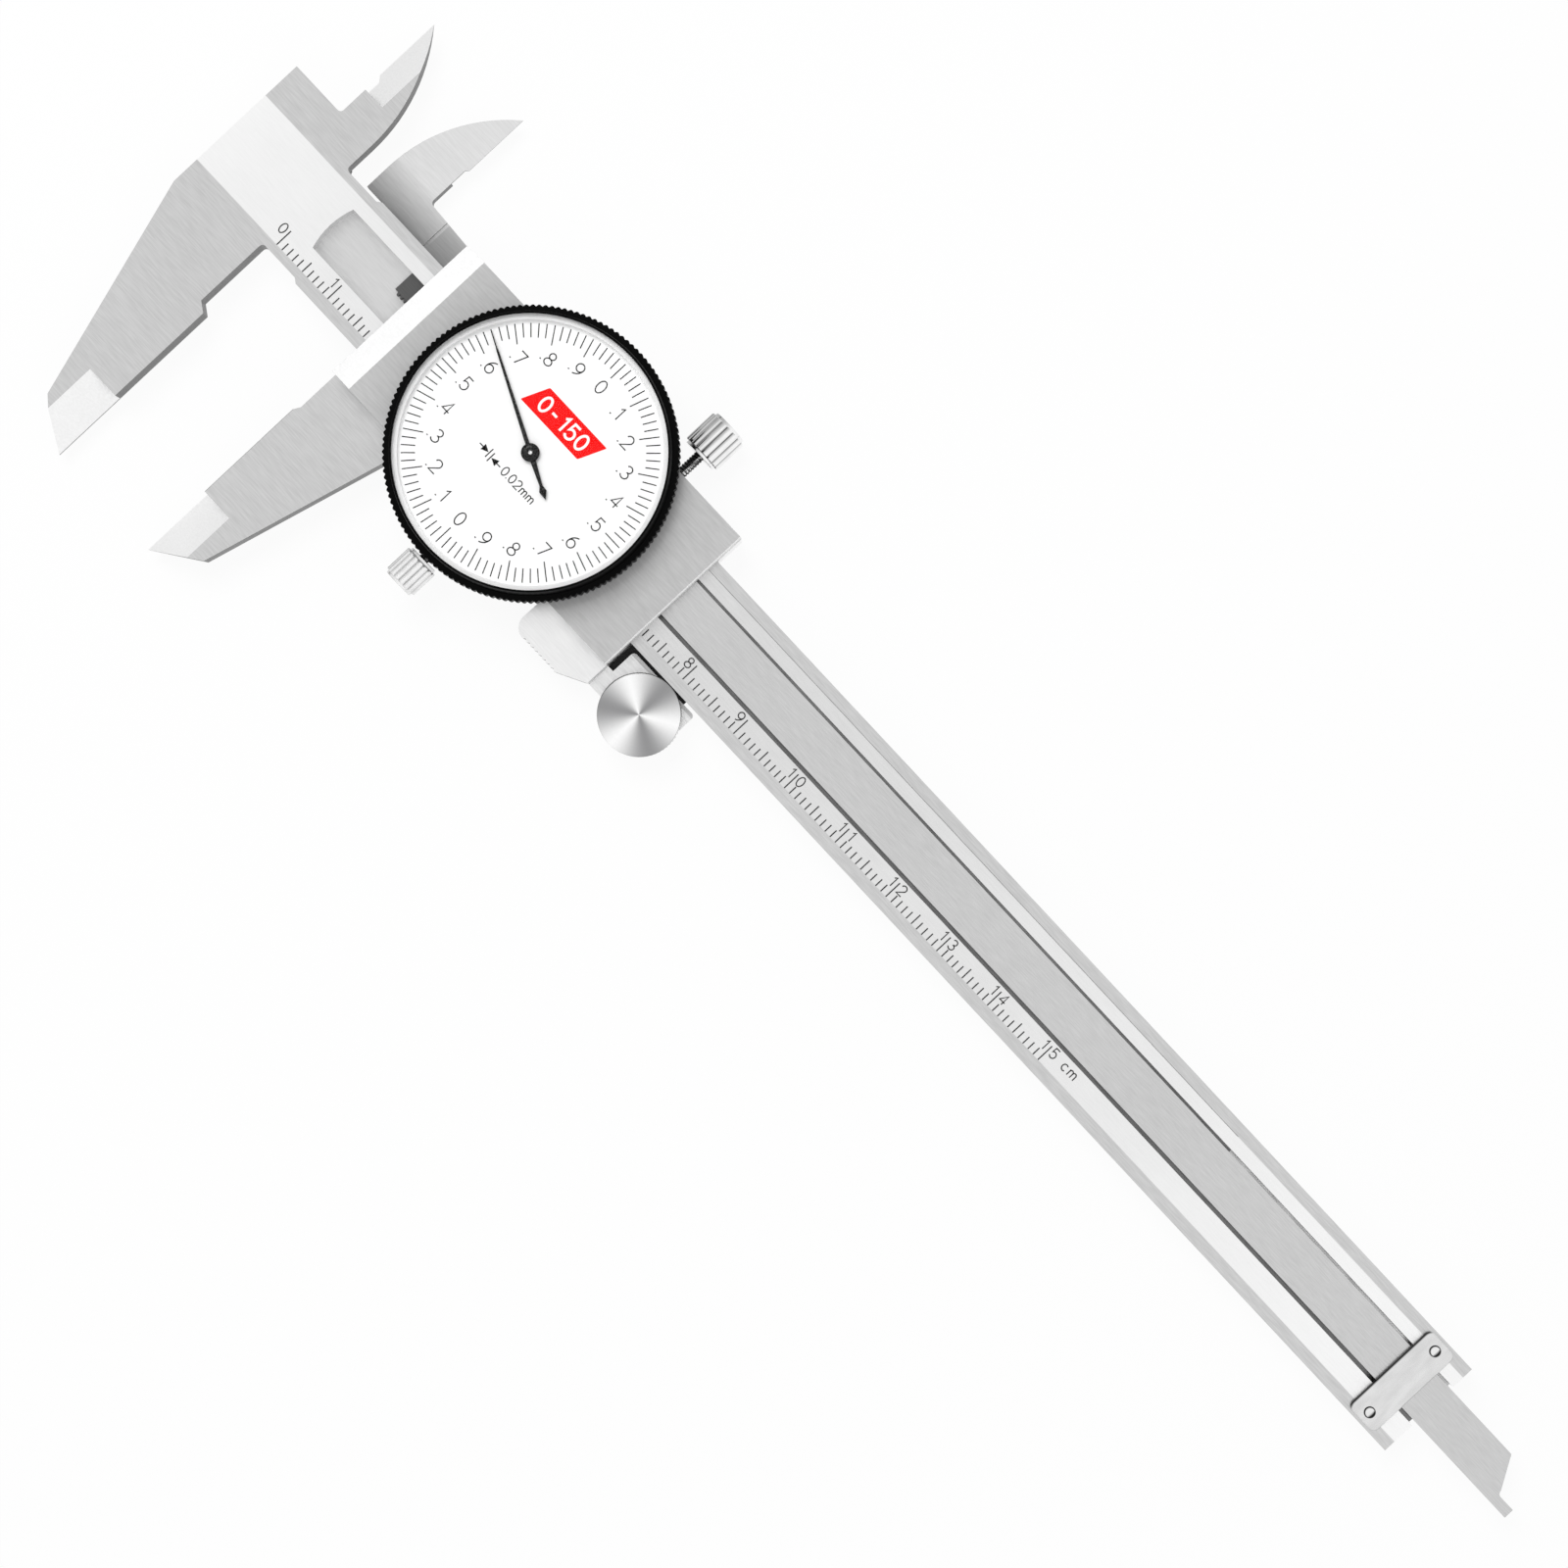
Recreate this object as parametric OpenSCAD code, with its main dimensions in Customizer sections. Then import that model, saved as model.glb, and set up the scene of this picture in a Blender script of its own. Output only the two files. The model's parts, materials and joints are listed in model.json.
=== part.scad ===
// Dial caliper: a beam with a rack, a slider with a geared dial, and a thumb roller.
// Millimetres. X runs along the beam, Y towards the inside jaws, Z up through the dial.
// In the sketch frame X = 0 is the fixed measuring face, Y = 0 the middle of the beam
// and Z = 0 the back of the beam. The finished part sits on the middle of its own footprint.

/* [Reading] */
// Gap between the outside jaws, as drawn
opening = 17.64; // [0:0.02:150]
// Widest gap that the jaws reach
travel = 150; // [120:10:200]
// Slider travel for one turn of the pointer
dial_travel = 2; // [1.8:0.1:2.2]

/* [Beam] */
// Width of the beam
beam_w = 16; // [15:0.5:18]
// Thickness of the beam
beam_t = 3.5; // [3.2:0.1:4.5]
// Length of the head, left of the fixed measuring face
head_l = 15.7; // [13:0.1:20]
// Beam left beyond the slider at full travel
beam_tail = 16.3; // [12:0.1:30]
// Depth of the relief on both beam edges beside the head
edge_relief = 0.5; // [0.2:0.1:0.8]
// Length of that relief
edge_relief_l = 4.9; // [3:0.1:8]
// Width of the groove for the rack and the depth bar
groove_w = 7.5; // [7.3:0.1:8.5]
// Offset of the groove from the middle of the beam
groove_off = 0.75; // [0.4:0.05:0.9]
// Depth of the groove
groove_depth = 2.2; // [2.1:0.1:2.6]
// Start of the groove, right of the fixed measuring face
groove_start = 3.6; // [2:0.1:8]

/* [Outside jaws] */
// Reach of the outside jaws below the beam
jaw_reach = 39.2; // [30:0.1:50]
// Length of the measuring faces
jaw_face_l = 27.4; // [20:0.1:28]
// Relief of the fixed jaw above its face
jaw_relief = 1.45; // [0.5:0.05:2]
// Drop of the head's left edge below the beam before it slants
jaw_shoulder = 2.5; // [1:0.1:6]
// Width of the fixed jaw at its heel
fixed_heel_w = 6.4; // [5.5:0.1:8]
// Width of the moving jaw at its heel
moving_heel_w = 6.76; // [5.5:0.02:8]
// Height of the heels above the jaw tips
heel_h = 4.75; // [3:0.05:7]
// Width of the moving jaw at the slider
moving_root_w = 14.5; // [11:0.1:18]
// Relief of the moving jaw above its face
moving_relief = 0.55; // [0.2:0.05:1]
// Length of the thinned knife at each jaw tip
knife_l = 11.2; // [6:0.1:15]
// Width of the thinned knife
knife_w = 4.9; // [3:0.1:5.4]
// Thickness left at the knife edge
knife_edge = 0.4; // [0.3:0.05:1]

/* [Inside jaws] */
// Reach of the inside jaws above the beam
inner_reach = 21.6; // [18:0.1:28]
// Distance of the crossing edges from the measuring plane
inner_edge = 7.8; // [7:0.05:9]
// Length of the crossing edges
inner_face_l = 10; // [6:0.1:11]
// Relief of the fixed blade below its crossing edge
inner_relief = 0.8; // [0.4:0.05:1]
// Length of that relief
inner_relief_l = 2.9; // [2:0.1:3.5]
// Step of the fixed blade's neck behind its crossing edge
blade_neck = 0.7; // [0.3:0.05:1]
// Height of the head above the beam
head_top = 4.1; // [3.6:0.1:4.3]
// Left edge of the fixed blade root behind the measuring plane
blade_root = 1; // [0.6:0.05:1.5]
// Height above the beam where both blades begin to curve
blade_curve = 4; // [3:0.1:6]
// Width of the bevel along each crossing edge
blade_bevel = 4; // [3:0.1:4.5]
// Thickness left at the crossing edges
blade_edge = 0.2; // [0.15:0.05:0.4]
// Height of the moving blade's front above the beam back
blade_front = 0.65; // [0.5:0.05:0.8]
// Thickness of the moving blade
blade_t = 1.95; // [1.5:0.05:2.1]
// Height of the moving blade's arm above the slider edge
arm_rise = 0.4; // [0.2:0.1:1]
// Depth of the lowered step in that arm
arm_step = 0.25; // [0.1:0.05:0.4]
// Length of the lowered step
arm_step_l = 4.7; // [3:0.1:6]

/* [Slider] */
// Length of the slider
slider_l = 54; // [52:0.5:65]
// Walls of the slider beside the beam
slider_wall = 4.4; // [4.2:0.1:6]
// Thickness of the back of the slider
back_t = 2.25; // [2.2:0.05:3]
// Thickness of the front plate
plate_t = 2.55; // [2.5:0.05:3.2]
// Length of the bevel at the left end of the front plate
bevel_l = 3.66; // [2:0.02:5]
// Chamfer at the right end of the front plate
plate_chamfer = 0.2; // [0.2:0.05:0.6]
// Metal left under the blind screw holes
hole_skin = 0.4; // [0.3:0.1:0.6]
// Thickness of the gib strip
gib_t = 1.2; // [0.8:0.1:1.5]
// Height of the gib strip
gib_h = 2.9; // [2:0.1:3.1]
// Solid ends of the gib pocket
gib_land = 3; // [2:0.5:5]
// Length of the thumb rest
rest_l = 12.4; // [10:0.1:16]
// Drop of the thumb rest below the slider
rest_drop = 5.8; // [4.5:0.1:7]
// Corner radius of the thumb rest
rest_r = 2; // [1:0.1:3]
// Number of grip teeth under the thumb rest
rest_teeth = 8; // [4:1:12]

/* [Rack and gears] */
// Teeth of the pinion on the rack
pinion_teeth = 16; // [16:1:17]
// Teeth of the drive wheel and of the take-up wheel
wheel_teeth = 60; // [60:12:60]
// Teeth of the centre pinion
center_teeth = 12; // [12:12:12]
// Play taken off each tooth
backlash = 0.04; // [0.03:0.01:0.06]
// Thickness of the wheels
gear_t = 0.4; // [0.3:0.05:0.5]
// Thickness of the rack and of its pinion
rack_t = 1; // [0.8:0.05:1]
// Start of the rack, right of the fixed measuring face
rack_start = 15; // [14:0.1:17]
// Rack left beyond the pinion at full travel
rack_tail = 7; // [4:0.5:12]
// Diameter of the rack pins
rack_pin_d = 1.2; // [0.8:0.1:1.4]
// Number of rack pins
rack_pin_count = 3; // [2:1:5]
// Radius of the drive and take-up arbors
arbor_r = 0.6; // [0.5:0.05:0.7]
// Radius of the centre arbor
center_r = 0.5; // [0.4:0.05:0.55]
// Radius of the fine pivots
pivot_r = 0.35; // [0.25:0.05:0.4]
// Outer radius of the bush in the front plate
arbor_bush_r = 2.5; // [2:0.1:3]
// Outer radius of the small bushes
bush_r = 1.2; // [1:0.1:1.5]
// Turns of the hairspring
hair_turns = 5; // [3:1:6]
// Thickness of the hairspring strip
hair_t = 0.12; // [0.1:0.01:0.15]

/* [Depth bar] */
// Width of the depth bar
depth_w = 6.5; // [6:0.1:6.9]
// Offset of the depth bar from the middle of the beam
depth_off = 0.85; // [0.8:0.05:0.9]
// Thickness of the depth bar
depth_t = 1; // [0.8:0.05:1]
// Start of the depth bar in the slider
depth_start = 30; // [26:0.5:34]
// Width of the tongue at its tip
tongue_w = 1.5; // [1:0.1:2.5]
// Length of the tongue
tongue_l = 3; // [2:0.1:5]
// Length of the slanted end
slant_l = 2.64; // [1.5:0.02:5]

/* [Dial] */
// Offset of the dial from the middle of the beam, towards the outside jaws
dial_off = 0.5; // [0.4:0.05:0.6]
// Radius of the knurled bezel
bezel_r = 19.8; // [19.2:0.1:20.2]
// Number of bezel teeth
bezel_teeth = 144; // [90:2:160]
// Depth of the bezel teeth
knurl_depth = 0.3; // [0.2:0.05:0.5]
// Height of the knurled band
knurl_h = 3; // [2.5:0.1:3.1]
// Width of the knurled band seen from the front
knurl_w = 0.9; // [0.7:0.05:1.1]
// Wall of the front ring
ring_wall = 0.45; // [0.4:0.05:0.7]
// Overhang of the front lip over the crystal
lip_w = 0.15; // [0.15:0.05:0.4]
// Height of the front lip
lip_h = 0.5; // [0.4:0.05:0.8]
// Width of the seat under the dial face
dial_seat = 0.55; // [0.4:0.05:0.7]
// Overlap of the retaining ring on the bezel
retainer_lap = 0.35; // [0.25:0.05:0.5]
// Thickness of the retaining ring
retainer_t = 0.4; // [0.3:0.05:0.6]
// Wall of the dial case
case_wall = 1.2; // [1.1:0.1:1.5]
// Floor of the dial case
case_floor = 0.8; // [0.7:0.05:1]
// Room between the case floor and the wheels
gear_room = 0.4; // [0.3:0.05:0.6]
// Room between the wheels and the bridge, where the hairspring lies
hair_room = 0.5; // [0.45:0.05:0.7]
// Thickness of the movement bridge
bridge_t = 0.6; // [0.5:0.05:0.9]
// Distance of the bridge pillars from the dial centre
pillar_ring = 12.8; // [12.4:0.1:13.2]
// Radius of the bridge pillars
pillar_r = 1.2; // [1.1:0.1:1.4]
// Distance of the case screws from the dial centre
case_screw_ring = 14; // [13.8:0.1:14.2]
// Thickness of the dial face
dial_t = 0.4; // [0.3:0.05:0.6]
// Height of the rim between dial face and crystal
rim_h = 1; // [0.9:0.05:1.4]
// Width of that rim
rim_w = 0.8; // [0.5:0.05:0.9]
// Thickness of the crystal
crystal_t = 0.5; // [0.4:0.05:0.8]
// Radius of the hole in the dial face
dial_hole_r = 1.2; // [0.9:0.1:1.5]
// Length of the pointer from the centre
pointer_l = 17; // [15:0.1:17.2]
// Length of the pointer tail
pointer_tail = 6.6; // [5:0.1:8]
// Half width of the pointer beside the hub
pointer_hw = 0.32; // [0.26:0.02:0.5]
// Half width of the spade on the tail
spade_hw = 0.5; // [0.4:0.05:0.9]
// Thickness of the pointer
pointer_t = 0.25; // [0.2:0.05:0.3]
// Radius of the pointer hub
hub_r = 1.25; // [1:0.05:1.5]

/* [Screws] */
// Diameter of the lock screw shank
lock_d = 1.65; // [1.4:0.05:2]
// Exposed length of the lock screw shank
lock_neck = 3.7; // [2:0.1:5]
// Diameter of the lock screw head
lock_head_d = 6; // [5:0.1:6.5]
// Length of the lock screw head
lock_head_l = 5.6; // [4:0.1:7]
// Place of the lock screw along the slider
lock_x = 41.8; // [40:0.1:43]
// Diameter of the bezel clamp screw shank
clamp_d = 1.6; // [1.2:0.1:1.8]
// Diameter of the bezel clamp screw head
clamp_head_d = 5.1; // [4:0.1:5.5]
// Length of the bezel clamp screw head
clamp_head_l = 4.8; // [3.5:0.1:6]
// Width of the lug that carries the clamp screw
lug_w = 5.2; // [4.5:0.1:7]
// Flutes around the screw heads
flutes = 22; // [16:1:28]
// Depth of the flutes
flute_depth = 0.22; // [0.1:0.02:0.3]
// Shank diameter of the small screws
screw_d = 1.4; // [1.2:0.1:1.5]
// Head diameter of the small screws
screw_head_d = 2.4; // [2.2:0.1:2.6]
// Head height of the small screws
screw_head_h = 0.6; // [0.5:0.05:0.65]
// Diameter of the finest screws
fine_d = 0.9; // [0.7:0.05:1]

/* [Thumb roller] */
// Radius of the thumb roller
roller_r = 5.75; // [5.2:0.05:6.2]
// Number of roller teeth
roller_teeth = 60; // [40:2:80]
// Depth of the roller teeth
roller_knurl = 0.15; // [0.1:0.05:0.3]
// Height of the knurled wheel
roller_h = 3; // [2.8:0.1:3.6]
// Height of the polished cap
cap_h = 0.8; // [0.5:0.1:1.2]
// Inset of the cap from the teeth
cap_inset = 0.05; // [0.02:0.01:0.3]
// Distance of the roller axle beyond the slider
roller_x = 7.86; // [7.2:0.02:9]
// Diameter of the roller axle
axle_d = 2; // [1.6:0.1:2.4]
// Thickness of the bracket arm
bracket_t = 1.5; // [1.2:0.05:1.6]
// Gap between the slider end and the bracket arm
bracket_gap = 0.96; // [0.6:0.02:1.4]
// Width of the bracket arm along the beam
bracket_w = 12; // [10:0.1:14]
// Depth of the bracket arm from the beam edge to its lower edge
bracket_drop = 8; // [7:0.1:9]

/* [End stop] */
// Length of the end stop plate along the beam
stop_l = 5.1; // [4:0.1:8]
// Distance of the plate from the end of the beam
stop_inset = 2.8; // [1:0.1:5]
// Thickness of the plate
stop_t = 0.7; // [0.5:0.1:1.2]
// Margin of the plate inside the beam edges
stop_margin = 0.4; // [0.2:0.1:0.8]
// Corner radius of the plate
stop_r = 0.8; // [0.5:0.1:1]
// Head diameter of its screws
stop_head_d = 1.6; // [1.2:0.1:1.8]

/* [Fits] */
// Clearance where the slider runs on the beam
slide_gap = 0.05; // [0.03:0.01:0.08]
// Clearance around turning shafts
turn_gap = 0.05; // [0.03:0.01:0.08]
// Clearance around pieces that sit still in their holes
seat_gap = 0.02; // [0.01:0.01:0.04]
// Air between pieces that pass each other
air_gap = 0.3; // [0.2:0.05:0.4]

/* [Hidden] */
$fn = 64;
// Overcut that keeps cutting tools proud of the faces they open
cut = 1;

// Beam and jaws
beam_hw = beam_w / 2;
beam_end = travel + slider_l + beam_tail;
tip_y = -(beam_hw + jaw_reach);
face_y = tip_y + jaw_face_l;
top_y = beam_hw + inner_reach;
inner_face_y = top_y - inner_face_l;
relief_y = inner_face_y - inner_relief_l;
relief_ramp = edge_relief + 0.2;
fillet_r = 0.6;
face_chamfer = 1;
groove_floor = beam_t - groove_depth;
groove_lo = groove_off - groove_w / 2;
groove_hi = groove_off + groove_w / 2;
groove_bulge = 0.6;

// Slider
slider_hw = beam_hw + slider_wall;
back_z = -(slide_gap + back_t);
plate_z = beam_t + slide_gap;
plate_top = plate_z + plate_t;
gib_y = beam_hw + slide_gap;
gib_z = (beam_t - gib_h) / 2;
gib_back = gib_y + gib_t + slide_gap;
blade_z = blade_front - blade_t;
fixed_blade_z = blade_front + 2 * slide_gap;

// Gear train: rack pitch follows from the travel of one pointer turn
gear_ratio = wheel_teeth / center_teeth;
pitch = dial_travel * gear_ratio / pinion_teeth;
gear_m = pitch / PI;
addendum = 0.95 * gear_m;
dedendum = 1.3 * gear_m;
pinion_pr = gear_m * pinion_teeth / 2;
arbor_dist = gear_m * (wheel_teeth + center_teeth) / 2;
dial_x = slider_l / 2;
dial_y = -dial_off;
pitch_line = dial_y + pinion_pr;
pinion_gap = 0.15;
drive_turn = opening / pinion_pr * 180 / PI;
pointer_turn = -opening / dial_travel * 360;
rack_end = travel + dial_x - arbor_dist + rack_tail;

// Heights of the dial
case_top = plate_top + case_floor;
gear_z = case_top + gear_room;
bridge_z = gear_z + gear_t + hair_room;
wall_top = bridge_z + bridge_t;
dial_z = wall_top + retainer_t + air_gap;
rim_z = dial_z + dial_t;
crystal_z = rim_z + rim_h;
lip_z = crystal_z + crystal_t;
bezel_top = lip_z + lip_h;
bezel_z = plate_top + air_gap;
pointer_z = rim_z + air_gap;
cap_t = 0.15;

// Radii of the dial
ring_r = bezel_r - knurl_w;
dial_bore = ring_r - ring_wall;
retainer_bore = dial_bore - dial_seat;
bezel_bore = retainer_bore - turn_gap - retainer_lap;
case_r = bezel_bore - turn_gap;
case_in = case_r - case_wall;
retainer_screw_ring = case_r - case_wall / 2;
screw_r = screw_d / 2;
head_r = screw_head_d / 2;
fine_r = fine_d / 2;

// Hairspring
collet_r = arbor_r + 0.3;
hair_r0 = collet_r + air_gap;
hair_r1 = 4.6;
stud_r = 0.4;
stud_ring = hair_r1 + hair_t / 2 + stud_r;
hair_z = gear_z + gear_t + hair_room / 4;
hair_h = hair_room / 2;

// Screws
lock_z = beam_t / 2;
lock_tip = gib_back + slide_gap;
gib_screw_x = [slider_l * 0.22, slider_l * 0.55];
frame_screw_inset = 6;
frame_screw_y = (gib_back + slider_hw) / 2;
depth_screw_x = [depth_start + 6, depth_start + 14];
clamp_z = plate_z + plate_t / 2;
clamp_y = dial_y - bezel_r;
lug_end = clamp_y + air_gap;
shoe_y = dial_y - (bezel_bore + bezel_r) / 2;
shoe_r = 0.9;

// Thumb roller
roller_y = -(beam_hw + slide_gap + roller_r);
roller_u = slider_l + roller_x;
wheel_z = air_gap / 2;
bracket_z = -(2 * slide_gap + bracket_t);
leaf_t = bracket_z - back_z;
clip_room = 0.7;
clip_t = 0.3;
axle_r = axle_d / 2;

// End stop
stop_x1 = beam_end - stop_inset;
stop_x0 = stop_x1 - stop_l;
stop_hw = beam_hw - stop_margin;
stop_screw_y = stop_hw - stop_head_d;

// The finished part stands on its lowest face, centred over its footprint
center_x = (opening + beam_end - head_l) / 2;
center_y = (tip_y + top_y) / 2;

function arc(c, r, a0, a1, n = 8) =
    [for (i = [0:n]) c + r * [cos(a0 + (a1 - a0) * i / n), sin(a0 + (a1 - a0) * i / n)]];

// Arc that leaves root along Y and ends at tip
function blade_arc(root, tip, n = 14) =
    let (d = tip - root, r = (d[0] * d[0] + d[1] * d[1]) / (2 * abs(d[0])), s = sign(d[0]))
    [for (i = [0:n]) let (a = asin(d[1] / r) * i / n)
        root + [s * r * (1 - cos(a)), r * sin(a)]];

function reversed(v) = [for (i = [len(v) - 1:-1:0]) v[i]];

function involute(a) = tan(a) * 180 / PI - a;

// Outline of a spur gear with a tooth centred on the X axis
function gear_points(z) =
    let (rp = gear_m * z / 2, rb = rp * cos(20), rf = rp - dedendum, ra = rp + addendum,
         half = 90 / z - backlash / 2 / rp * 180 / PI + involute(20),
         side = [for (t = [0, 0.3, 0.55, 0.8, 1]) let (r = rf + t * (ra - rf))
                 [r, half - (r > rb ? involute(acos(rb / r)) : 0)]])
    [for (i = [0:z - 1], k = [0:9])
        let (p = side[k < 5 ? k : 9 - k], a = 360 * i / z + (k < 5 ? -1 : 1) * p[1])
        p[0] * [cos(a), sin(a)]];

// Outline with n pointed teeth between two radii
function toothed_ring(r, depth, n) =
    [for (i = [0:2 * n - 1]) let (a = 180 * i / n, q = r - (i % 2) * depth) q * [cos(a), sin(a)]];

module seat() translate([-center_x, -center_y, -back_z]) children();

module on_slider() seat() translate([opening, 0, 0]) children();

module on_dial() on_slider() translate([dial_x, dial_y, 0]) children();

module on_drive() on_dial() translate([-arbor_dist, 0, 0]) children();

module on_takeup() on_dial() translate([arbor_dist, 0, 0]) children();

module on_roller() on_slider() translate([roller_u, roller_y, 0]) children();

module tube(r_out, r_in, h) {
    difference() {
        cylinder(r = r_out, h = h);
        translate([0, 0, -cut]) cylinder(r = r_in, h = h + 2 * cut);
    }
}

// Prism drawn in the X-Z plane, from y0 to y1
module across(y0, y1) translate([0, y1, 0]) rotate([90, 0, 0]) linear_extrude(y1 - y0) children();

module rounded_plate(x0, x1, hw, r, t) {
    linear_extrude(t) union() {
        translate([x0 + r, -hw]) square([x1 - x0 - 2 * r, 2 * hw]);
        translate([x0, -hw + r]) square([x1 - x0, 2 * hw - 2 * r]);
        for (x = [x0 + r, x1 - r], y = [-hw + r, hw - r]) translate([x, y]) circle(r);
    }
}

// Flat-headed screw whose head is flush with Z = 0 and whose shank points down
module flush_screw(r, l) {
    translate([0, 0, -l]) cylinder(r = r, h = l);
    translate([0, 0, -screw_head_h]) cylinder(r1 = r, r2 = head_r, h = screw_head_h);
}

module flush_hole(r, l) {
    translate([0, 0, -l]) cylinder(r = r + seat_gap, h = l + cut);
    translate([0, 0, -screw_head_h]) cylinder(r1 = r + seat_gap, r2 = head_r + seat_gap, h = screw_head_h);
    cylinder(r = head_r + seat_gap, h = cut);
}

// Fluted screw head from Z = 0 upwards, with chamfered ends
module fluted_head(d, l) {
    inner = d * 3 / 7;
    outer = d / 2 + flute_depth;
    intersection() {
        linear_extrude(l) polygon(toothed_ring(d / 2, flute_depth, flutes));
        rotate_extrude() polygon([[0, 0], [inner, 0], [outer, outer - inner], [outer, l - outer + inner],
                                  [inner, l], [0, l]]);
    }
}

function bar_outline() =
    [[-head_l, -beam_hw], [-jaw_relief, -beam_hw], [-jaw_relief, edge_relief - beam_hw],
     [edge_relief_l, edge_relief - beam_hw], [edge_relief_l + relief_ramp, -beam_hw], [beam_end, -beam_hw],
     [beam_end, beam_hw], [edge_relief_l + relief_ramp, beam_hw], [edge_relief_l, beam_hw - edge_relief],
     [-blade_root, beam_hw - edge_relief], [-blade_root, beam_hw], [-head_l, beam_hw]];

function fixed_jaw_outline() =
    concat([[-head_l, cut - beam_hw], [-head_l, -beam_hw - jaw_shoulder], [-fixed_heel_w, tip_y + heel_h],
            [-0.76 * fixed_heel_w, tip_y + 0.72 * heel_h], [0, tip_y], [0, face_y],
            [-jaw_relief, face_y + face_chamfer]],
           arc([fillet_r - jaw_relief, edge_relief - beam_hw - fillet_r], fillet_r, 180, 90),
           [[fillet_r - jaw_relief, cut - beam_hw]]);

function fixed_blade_outline() =
    let (neck = -inner_edge + blade_neck, relief = -inner_edge + inner_relief, y = beam_hw + head_top)
    concat([[-head_l, beam_hw - cut], [-head_l, y]],
           arc([neck - fillet_r, y + fillet_r], fillet_r, -90, 0),
           [[neck, relief_y], [relief, relief_y], [relief, inner_face_y - inner_relief],
            [-inner_edge, inner_face_y]],
           reversed(blade_arc([-blade_root, beam_hw + blade_curve], [-inner_edge, top_y])),
           arc([fillet_r - blade_root, beam_hw - edge_relief + fillet_r], fillet_r, 180, 270),
           [[fillet_r - blade_root, beam_hw - cut]]);

// Outline of the groove, with a shallow curved end towards the head
function groove_outline() =
    let (h = groove_w / 2, r = (h * h + groove_bulge * groove_bulge) / (2 * groove_bulge), a = asin(h / r))
    concat([[beam_end + cut, groove_lo], [beam_end + cut, groove_hi]],
           arc([groove_start - groove_bulge + r, groove_off], r, 180 - a, 180 + a));

module rack_pin_places() {
    step = (rack_end - rack_start) / rack_pin_count;
    for (i = [0:rack_pin_count - 1])
        translate([rack_start + (i + 0.5) * step, (pitch_line + dedendum + groove_hi) / 2, 0]) children();
}

module stop_screw_places() {
    for (y = [-stop_screw_y, stop_screw_y]) translate([stop_x1 - stop_l / 2, y, 0]) children();
}

module beam() {
    color("silver") seat() difference() {
        union() {
            linear_extrude(beam_t) polygon(bar_outline());
            linear_extrude(beam_t) polygon(fixed_jaw_outline());
            translate([0, 0, fixed_blade_z]) linear_extrude(beam_t - fixed_blade_z)
                polygon(fixed_blade_outline());
        }
        translate([0, 0, groove_floor]) linear_extrude(groove_depth + cut) polygon(groove_outline());
        rack_pin_places() cylinder(r = rack_pin_d / 2 + seat_gap, h = 2 * beam_t, center = true);
        stop_screw_places() translate([0, 0, -cut]) cylinder(r = fine_r + seat_gap, h = beam_t + 2 * cut);
        across(tip_y - cut, tip_y + knife_l) knife_wedge();
        across(relief_y, top_y + cut)
            polygon([[blade_bevel - inner_edge, beam_t], [blade_bevel - inner_edge, beam_t + cut],
                     [-inner_edge - cut, beam_t + cut], [-inner_edge - cut, fixed_blade_z + blade_edge],
                     [-inner_edge, fixed_blade_z + blade_edge]]);
    }
}

// Section cut away in front of a knife edge that lies on X = 0
module knife_wedge() {
    slope = (beam_t - knife_edge) / knife_w;
    polygon([[-knife_w, beam_t], [cut, knife_edge - cut * slope], [cut, beam_t + cut],
             [-knife_w, beam_t + cut]]);
}

// Rack in the groove, with a gap opposite the pinion when the jaws are closed
module rack() {
    first = ceil((rack_start - dial_x + arbor_dist) / pitch);
    last = floor((rack_end - dial_x + arbor_dist) / pitch) - 1;
    half = pitch / 4 - backlash / 2;
    tip = half - addendum * tan(20);
    root = half + dedendum * tan(20);
    teeth = [for (i = [first:last]) let (x = dial_x - arbor_dist + (i + 0.5) * pitch)
             each [[x - root, pitch_line + dedendum], [x - tip, pitch_line - addendum],
                   [x + tip, pitch_line - addendum], [x + root, pitch_line + dedendum]]];
    color("dimgray") seat() difference() {
        translate([0, 0, groove_floor]) linear_extrude(rack_t)
            polygon(concat([[rack_start, groove_hi], [rack_start, pitch_line + dedendum]], teeth,
                           [[rack_end, pitch_line + dedendum], [rack_end, groove_hi]]));
        rack_pin_places() cylinder(r = rack_pin_d / 2 + seat_gap, h = 2 * beam_t, center = true);
    }
}

module rack_pins() {
    color("gray") seat() rack_pin_places() cylinder(d = rack_pin_d, h = groove_floor + rack_t);
}

module end_stop_plate() {
    color("silver") seat() difference() {
        translate([0, 0, beam_t]) rounded_plate(stop_x0, stop_x1, stop_hw, stop_r, stop_t);
        stop_screw_places() cylinder(r = fine_r + seat_gap, h = beam_t + stop_t + cut);
    }
}

// Small screws with low domed heads
module end_stop_screws() {
    dome = stop_head_d / 4;
    color("gray") seat() stop_screw_places() {
        cylinder(r = fine_r, h = beam_t + stop_t);
        translate([0, 0, beam_t + stop_t]) rotate_extrude()
            polygon(concat([[0, 0]], [for (i = [0:6]) [stop_head_d / 2 * cos(15 * i), dome * sin(15 * i)]]));
    }
}

function moving_jaw_outline() =
    concat([[moving_relief, cut - slider_hw], [moving_relief, face_y + face_chamfer], [0, face_y], [0, tip_y],
            [moving_heel_w, tip_y + heel_h], [moving_root_w, -slider_hw], [moving_root_w, cut - slider_hw]]);

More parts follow.
